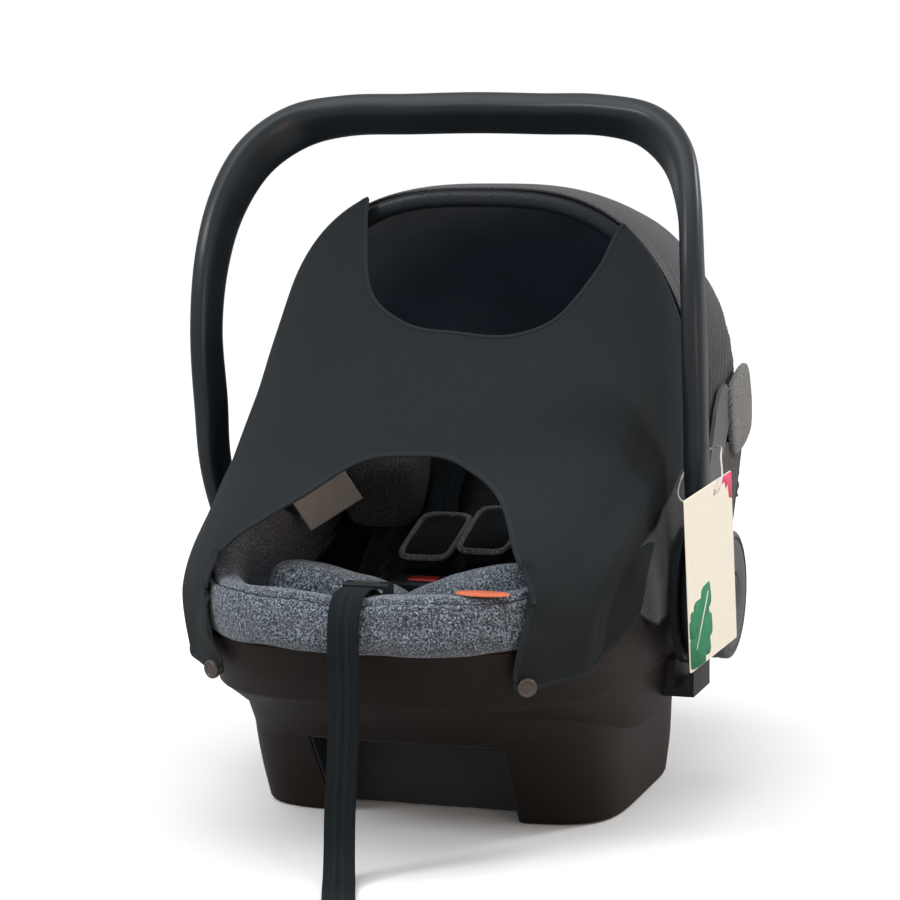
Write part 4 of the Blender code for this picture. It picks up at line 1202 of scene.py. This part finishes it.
def rough_fabric(thing, amount=0.0009):
    """Slight unevenness of stuffing under cloth, in waves of a few centimetres."""
    apply_modifiers(thing)
    places, normals = places_and_normals(thing.data)
    waves = np.array([
        noise.noise(Vector(spot) * 34.0) + 0.5 * noise.noise(Vector(spot) * 34.0 * 2.3) for spot in places
    ])
    move_points(thing.data, places + normals * waves[:, None] * amount)


def furrow(thing, line, width, depth):
    """Presses a sewn channel into a cushion along a line of points."""
    places, normals = places_and_normals(thing.data)
    nearest = np.full(len(places), 1e9)
    for spot in line:
        nearest = np.minimum(nearest, np.linalg.norm(places - np.array(tuple(spot)), axis=1))
    pressed = depth * np.exp(-((nearest / width) ** 2))
    move_points(thing.data, places - normals * pressed[:, None])


def cushion(name, size, place, turn, finish, stands_for, cap, voxel, trim=None):
    """A stuffed cushion that starts a little smaller than its frame solid and swells to it."""
    slim = tuple(side * 0.93 for side in size)
    thing = piece(name, pillow_cage(slim, place, turn), finish)
    rounded(thing, 2)
    apply_modifiers(thing)
    if trim:
        cut(thing, trim(), "INTERSECT")
    inflated(thing, voxel, cap)
    rough_fabric(thing)
    repaint(thing, finish)
    thing.data.shade_smooth()
    settle(thing, "root", [stands_for])
    return thing


def cavity_form():
    """The inside of the foam liner, which is 12 mm thick and 1 mm inside the shell, less 3 mm of play."""
    grow = -(SHELL_WALL + 0.001 + 0.012 + 0.003)
    rings = [shell_ring(i / 10, grow, -grow) for i in range(11)]
    rings.append(shell_ring(1.0, grow, 0.3))
    return piece("cavity_form", loft(rings), shell_plastic)


def sewn_line(place, turn, start, stop, spacing=0.003):
    """A straight run of points between two given in a cushion's own axes."""
    start, stop = Vector(start), Vector(stop)
    count = round((stop - start).length / spacing)
    matrix = placed(place, turn)
    return [matrix @ start.lerp(stop, i / count) for i in range(count + 1)]


def make_cushions():
    back_place, recline = (0, 0.075, 0.190), (38, 0, 0)
    cushion("seat_pad", (0.270, 0.190, 0.085), (0, -0.178, 0.116), (0, 0, 0), cushion_knit,
            "seat_cushion", 0.006, 0.006, cavity_form)
    back = cushion("back_pad", (0.270, 0.340, 0.075), back_place, recline, cushion_knit,
                   "back_cushion", 0.006, 0.006, cavity_form)
    for offset in (-0.075, 0.0, 0.075):
        line = sewn_line(back_place, recline, (-0.110, offset, 0.034), (0.109, offset, 0.034))
        furrow(back, line, 0.0045, 0.004)
    head_place = (0, 0.130, 0.312)
    head = cushion("head_pad", (0.110, 0.100, 0.040), head_place, recline, melange_knit,
                   "head_cushion", 0.005, 0.004)
    furrow(head, sewn_line(head_place, recline, (-0.048, 0, 0.018), (0.048, 0, 0.018)), 0.004, 0.003)
    for side, sign in SIDES:
        place, turn = (sign * 0.093, 0.030, 0.2665), (38, 0, sign * -10)
        bolster = cushion(f"bolster_{side}", (0.080, 0.120, 0.100), place, turn, painted_light_melange,
                          f"side_bolster_{side}", 0.006, 0.004)
        x = -sign * 0.012
        seam = sewn_line(place, turn, (x, -0.056, 0.049), (x, 0.055, 0.049))
        seam += sewn_line(place, turn, (x, -0.059, -0.044), (x, -0.059, 0.046))
        furrow(bolster, seam, 0.0032, 0.0036)
        place, turn = LAP_PADS[side]
        lap = cushion(f"lap_wing_{side}", (0.128, 0.058, 0.050), place, turn, melange_knit,
                      f"lap_pad_{side}", 0.005, 0.0035)
        furrow(lap, sewn_line(place, turn, (-0.048, -0.010, 0.016), (0.048, -0.010, 0.016)), 0.0028, 0.0030)


def make_rear_rolls():
    """A soft roll of the cover over the shell's edge, behind each hub."""
    for side, sign in SIDES:
        cage = pillow_cage((0.0085, 0.078, 0.070), (sign * 0.1930, 0.148, 0.303), (14, 0, 0))
        roll = piece(f"cover_roll_{side}", cage, painted_light_melange)
        rounded(roll, 4)
        rough_fabric(roll, 0.0006)
        settle(roll, "root")


make_cushions()
make_rear_rolls()


# ---- harness ----
def strap(name, points, width, steps=6):
    """Webbing with rounded edges, its width along X; UVs in metres."""
    line = smooth_line(points, steps)
    rings = []
    for i, point in enumerate(line):
        ahead = heading(line, i)
        side = squared(Vector((1, 0, 0)), ahead)
        up = ahead.cross(side).normalized()
        rings.append(oval(point, side * width / 2, up * WEB_THICK / 2, 16, (0.45, 0.35), 0.5))
    return piece(name, loft(rings), web), line


def make_harness():
    for side, sign in SIDES:
        chest = -0.020 if sign < 0 else 0.028
        points = ((sign * 0.040, 0.085, 0.277), (sign * 0.034, 0.020, 0.240),
                  (chest, -0.050, 0.2055), (sign * 0.024, -0.118, 0.184))
        belt, _ = strap(f"shoulder_belt_{side}", points, WEB_WIDTH)
        settle(belt, "root", [f"shoulder_strap_{side}"])
        place, turn = SHOULDER_PADS[side], (18, 0, 0)
        pad = cushion(f"shoulder_sleeve_{side}", (0.048, 0.085, 0.020), place, turn, pad_jersey,
                      f"shoulder_pad_{side}", 0.003, 0.003)
        edge = oval(Vector((0, 0, 0.0060)), Vector((0.0208, 0, 0)), Vector((0, 0.0385, 0)), 96, (0.42, 0.30))
        outline = [placed(place, turn) @ point for point in edge]
        trim = tube(f"sleeve_trim_{side}", outline, 0.0026, pale_melange, 10, closed=True)
        trim.parent = pad
    loop, _ = strap("crotch_belt", ((0, -0.182, 0.1735), (0, -0.170, 0.1765), (0, -0.158, 0.178)), 0.022)
    settle(loop, "root", ["crotch_strap"])
    cushion("crotch_sleeve", (0.060, 0.070, 0.012), (0, -0.150, 0.1690), (6, 0, 0), pad_jersey,
            "crotch_pad", 0.002, 0.003)
    pull, line = strap("adjuster_web", ADJUSTER_ROUTE, WEB_WIDTH, 5)
    settle(pull, "root", ["adjuster_strap"])


make_harness()


# ---- labels and hang tag ----
def make_labels():
    """An oval leather badge on the rim, with a stitch groove, and a woven label on the cushion."""
    rings = []
    for level, share in ((0.0, 1.0), (0.0010, 1.0), (0.0015, 0.97), (0.0016, 0.90), (0.0013, 0.865),
                         (0.0013, 0.845), (0.0016, 0.81), (0.0017, 0.5), (0.0018, 0.05)):
        middle = Vector((0.097, -0.297, 0.2150 + level))
        rings.append(oval(middle, Vector((0.021 * share, 0, 0)), Vector((0, 0.0085 * share, 0)), 64))
    badge = piece("rim_badge", loft(rings), coral_leather, 50)
    settle(badge, "root", ["leather_label"])

    def label_place(s, t):
        curl = 0.0022 * math.sin(s * 3.0 + 0.4) * math.sin(t * 2.6)
        return Vector((-0.026 + 0.052 * s, curl, -0.026 + 0.052 * t))

    label = cloth("care_label", label_place, (24, 24), (0.052, 0.052), white_satin, 0.0005)
    label.data.transform(placed((-0.1180, -0.064, 0.2520), (4, -32, 16)))
    settle(label, "root", ["textile_label"])


def print_shape(name, outline, x, finish):
    """A patch of print: a plate PRINT_THICK across X from an outline in y and z."""
    bm = bmesh.new()
    verts = [bm.verts.new((x, y, z)) for y, z in outline]
    face = bm.faces.new(verts)
    made = bmesh.ops.extrude_face_region(bm, geom=[face])
    moved = [item for item in made["geom"] if isinstance(item, bmesh.types.BMVert)]
    bmesh.ops.translate(bm, vec=(PRINT_THICK, 0, 0), verts=moved)
    bmesh.ops.triangulate(bm, faces=bm.faces)
    return piece(name, bm, finish)


def leaf_outline(root, tip, width, lobes):
    """A generic lobed leaf between two points of the card."""
    root, tip = Vector(root), Vector(tip)
    run = tip - root
    side = Vector((-run.y, run.x)).normalized()
    points = []
    for direction in (1, -1):
        steps = [i / 60 for i in range(61)] if direction > 0 else [1 - i / 60 for i in range(61)]
        for t in steps:
            body = math.sin(math.pi * t ** 0.8) ** 0.7
            notch = 0.62 + 0.38 * abs(math.sin(t * math.pi * lobes))
            points.append(root + run * t + side * direction * width * body * notch)
    return [tuple(p) for p in points[:60] + points[61:-1]]


def make_tag():
    """A card with a hole, its generic print, and the looped string that holds it to the handle."""
    hole = [point[:2] for point in oval(Vector(), Vector((0.0028, 0, 0)), Vector((0, 0.0028, 0)), 32)]
    low_y, high_y = TAG_AHEAD - TAG_WIDE, TAG_AHEAD
    low_z, high_z = TAG_ABOVE - TAG_TALL, TAG_ABOVE
    corner = 0.0012
    rim = []
    for cy, cz, start in ((high_y - corner, high_z - corner, 0), (low_y + corner, high_z - corner, 90),
                          (low_y + corner, low_z + corner, 180), (high_y - corner, low_z + corner, 270)):
        for i in range(5):
            a = math.radians(start + 22.5 * i)
            rim.append((cy + corner * math.cos(a), cz + corner * math.sin(a)))
    curve = bpy.data.curves.new("tag_form", "CURVE")
    curve.dimensions = "2D"
    curve.fill_mode = "BOTH"
    curve.extrude = 0.00042
    curve.bevel_depth = 0.00008
    for outline in (rim, hole):
        spline = curve.splines.new("POLY")
        spline.points.add(len(outline) - 1)
        spline.use_cyclic_u = True
        for knot, (y, z) in zip(spline.points, outline):
            knot.co = (y, z, 0, 1)
    form = shown("tag_form", curve)
    board = shown("tag_card", bpy.data.meshes.new_from_object(form))
    bpy.data.objects.remove(form, do_unlink=True)
    upright = Matrix(((0, 0, 1, 0), (1, 0, 0, 0), (0, 1, 0, 0), (0, 0, 0, 1)))
    board.data.transform(upright)
    repaint(board, cream_card)
    prints = []
    leaves = (
        ((-0.062, -0.125), (-0.018, -0.066), 0.023, 4), ((-0.050, -0.126), (-0.016, -0.092), 0.018, 3),
        ((-0.063, -0.100), (-0.040, -0.078), 0.011, 3),
    )
    for i, (root, tip, width, lobes) in enumerate(leaves):
        outline = [(min(max(y, low_y + 0.0002), high_y), min(max(z, low_z + 0.0002), high_z))
                   for y, z in leaf_outline(root, tip, width, lobes)]
        prints.append(print_shape(f"tag_leaf_{i + 1}", outline, CARD_FACE + i * PRINT_THICK, green_ink))
    patch = [(0.0368, 0.0088), (0.014, 0.0088), (0.016, 0.003), (0.021, 0.004), (0.024, -0.003),
             (0.028, 0.000), (0.030, -0.011), (0.0368, -0.013)]
    prints.append(print_shape("tag_patch", patch, CARD_FACE, pink_ink))
    stem = [(-0.050, -0.1120), (-0.0485, -0.1135), (-0.0205, -0.0735), (-0.022, -0.0725)]
    prints.append(print_shape("tag_vein", stem, CARD_FACE + 0.0001, cream_card))
    for thing in (board, *prints):
        thing.data.transform(placed(TAG_HOLE, TAG_TURN))
    settle(board, "hang_tag", ["hang_tag"])
    for thing in prints:
        thing.parent = board
    route = (
        (0.2390, -0.1378, 0.2737), (0.2408, -0.1300, 0.2850), (0.2330, -0.1000, 0.2960),
        (0.2250, -0.0660, 0.2990), (0.2100, -0.0420, 0.2930), (0.1940, -0.0510, 0.2790),
        (0.1935, -0.0790, 0.2640), (0.2030, -0.1000, 0.2590), (0.2190, -0.1190, 0.2630),
        (0.2335, -0.1381, 0.2735),
    )
    line = []
    for i in range(len(route)):
        four = [route[(i + k - 1) % len(route)] for k in range(4)]
        line += smooth_line(four, 6)[6:12]
    string = tube("tag_string", line, 0.0007, thread, 8, closed=True)
    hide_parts("tag_tie")
    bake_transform(string)


make_labels()
make_tag()


# ---- camera, floor and light ----
def make_camera():
    data = bpy.data.cameras.new("camera")
    data.sensor_width = 36
    data.lens = LENS
    camera = shown("camera", data)
    yaw, pitch, roll = CAMERA_YAW, CAMERA_PITCH, CAMERA_ROLL
    forward = Vector((-math.sin(yaw) * math.cos(pitch), math.cos(yaw) * math.cos(pitch), -math.sin(pitch)))
    level = Vector((math.cos(yaw), math.sin(yaw), 0))
    rise = level.cross(forward)
    right = level * math.cos(roll) + rise * math.sin(roll)
    up = rise * math.cos(roll) - level * math.sin(roll)
    facing = Matrix((right, up, -forward)).transposed().to_4x4()
    camera.matrix_world = Matrix.Translation(CAMERA_PLACE) @ facing
    scene.camera = camera


def lamp_of(name, kind, energy, **settings):
    data = bpy.data.lights.new(name, kind)
    data.energy = energy
    for key, value in settings.items():
        setattr(data, key, value)
    return shown(name, data)


def area_light(name, place, target, size, energy, colour=(1, 1, 1)):
    lamp = lamp_of(name, "AREA", energy, shape="DISK", size=size, color=colour)
    lamp.location = place
    lamp.rotation_euler = (Vector(target) - Vector(place)).to_track_quat("-Z", "Y").to_euler()


def make_stage():
    """A floor that looks white and bounces less light, a white studio, a soft sun and three lamps."""
    bm = bmesh.new()
    bmesh.ops.create_grid(bm, x_segments=1, y_segments=1, size=12)
    finish, tree = new_material("floor", 0.9, specular=0.0)
    seen = put(tree, "ShaderNodeLightPath").outputs["Is Camera Ray"]
    drive(tree, "Base Color", mixed(tree, seen, (0.42, 0.41, 0.40), grey(0.94)))
    floor = piece("floor", bm, finish)
    floor.location.z = -0.0006
    world = bpy.data.worlds.new("studio")
    world.use_nodes = True
    tree = world.node_tree
    seen = put(tree, "ShaderNodeLightPath").outputs["Is Camera Ray"]
    strength = put(tree, "ShaderNodeMapRange", {"Value": seen, "To Min": 0.72, "To Max": 1.0}).outputs[0]
    tree.links.new(strength, tree.nodes["Background"].inputs["Strength"])
    tree.nodes["Background"].inputs["Color"].default_value = (1, 1, 1, 1)
    scene.world = world
    scene.view_settings.view_transform = "Standard"
    sun = lamp_of("overhead", "SUN", 1.15, angle=math.radians(50))
    sun.rotation_euler = (math.radians(14), math.radians(-10), 0)
    area_light("key", (-1.5, -1.9, 1.9), (0, 0, 0.25), 0.7, 26)
    area_light("rim", (1.7, 0.9, 1.6), (0, 0, 0.3), 0.6, 22)
    area_light("warm", (1.5, -1.6, 0.30), (0.1, -0.1, 0.1), 0.5, 7, (1.0, 0.66, 0.46))


make_camera()
make_stage()
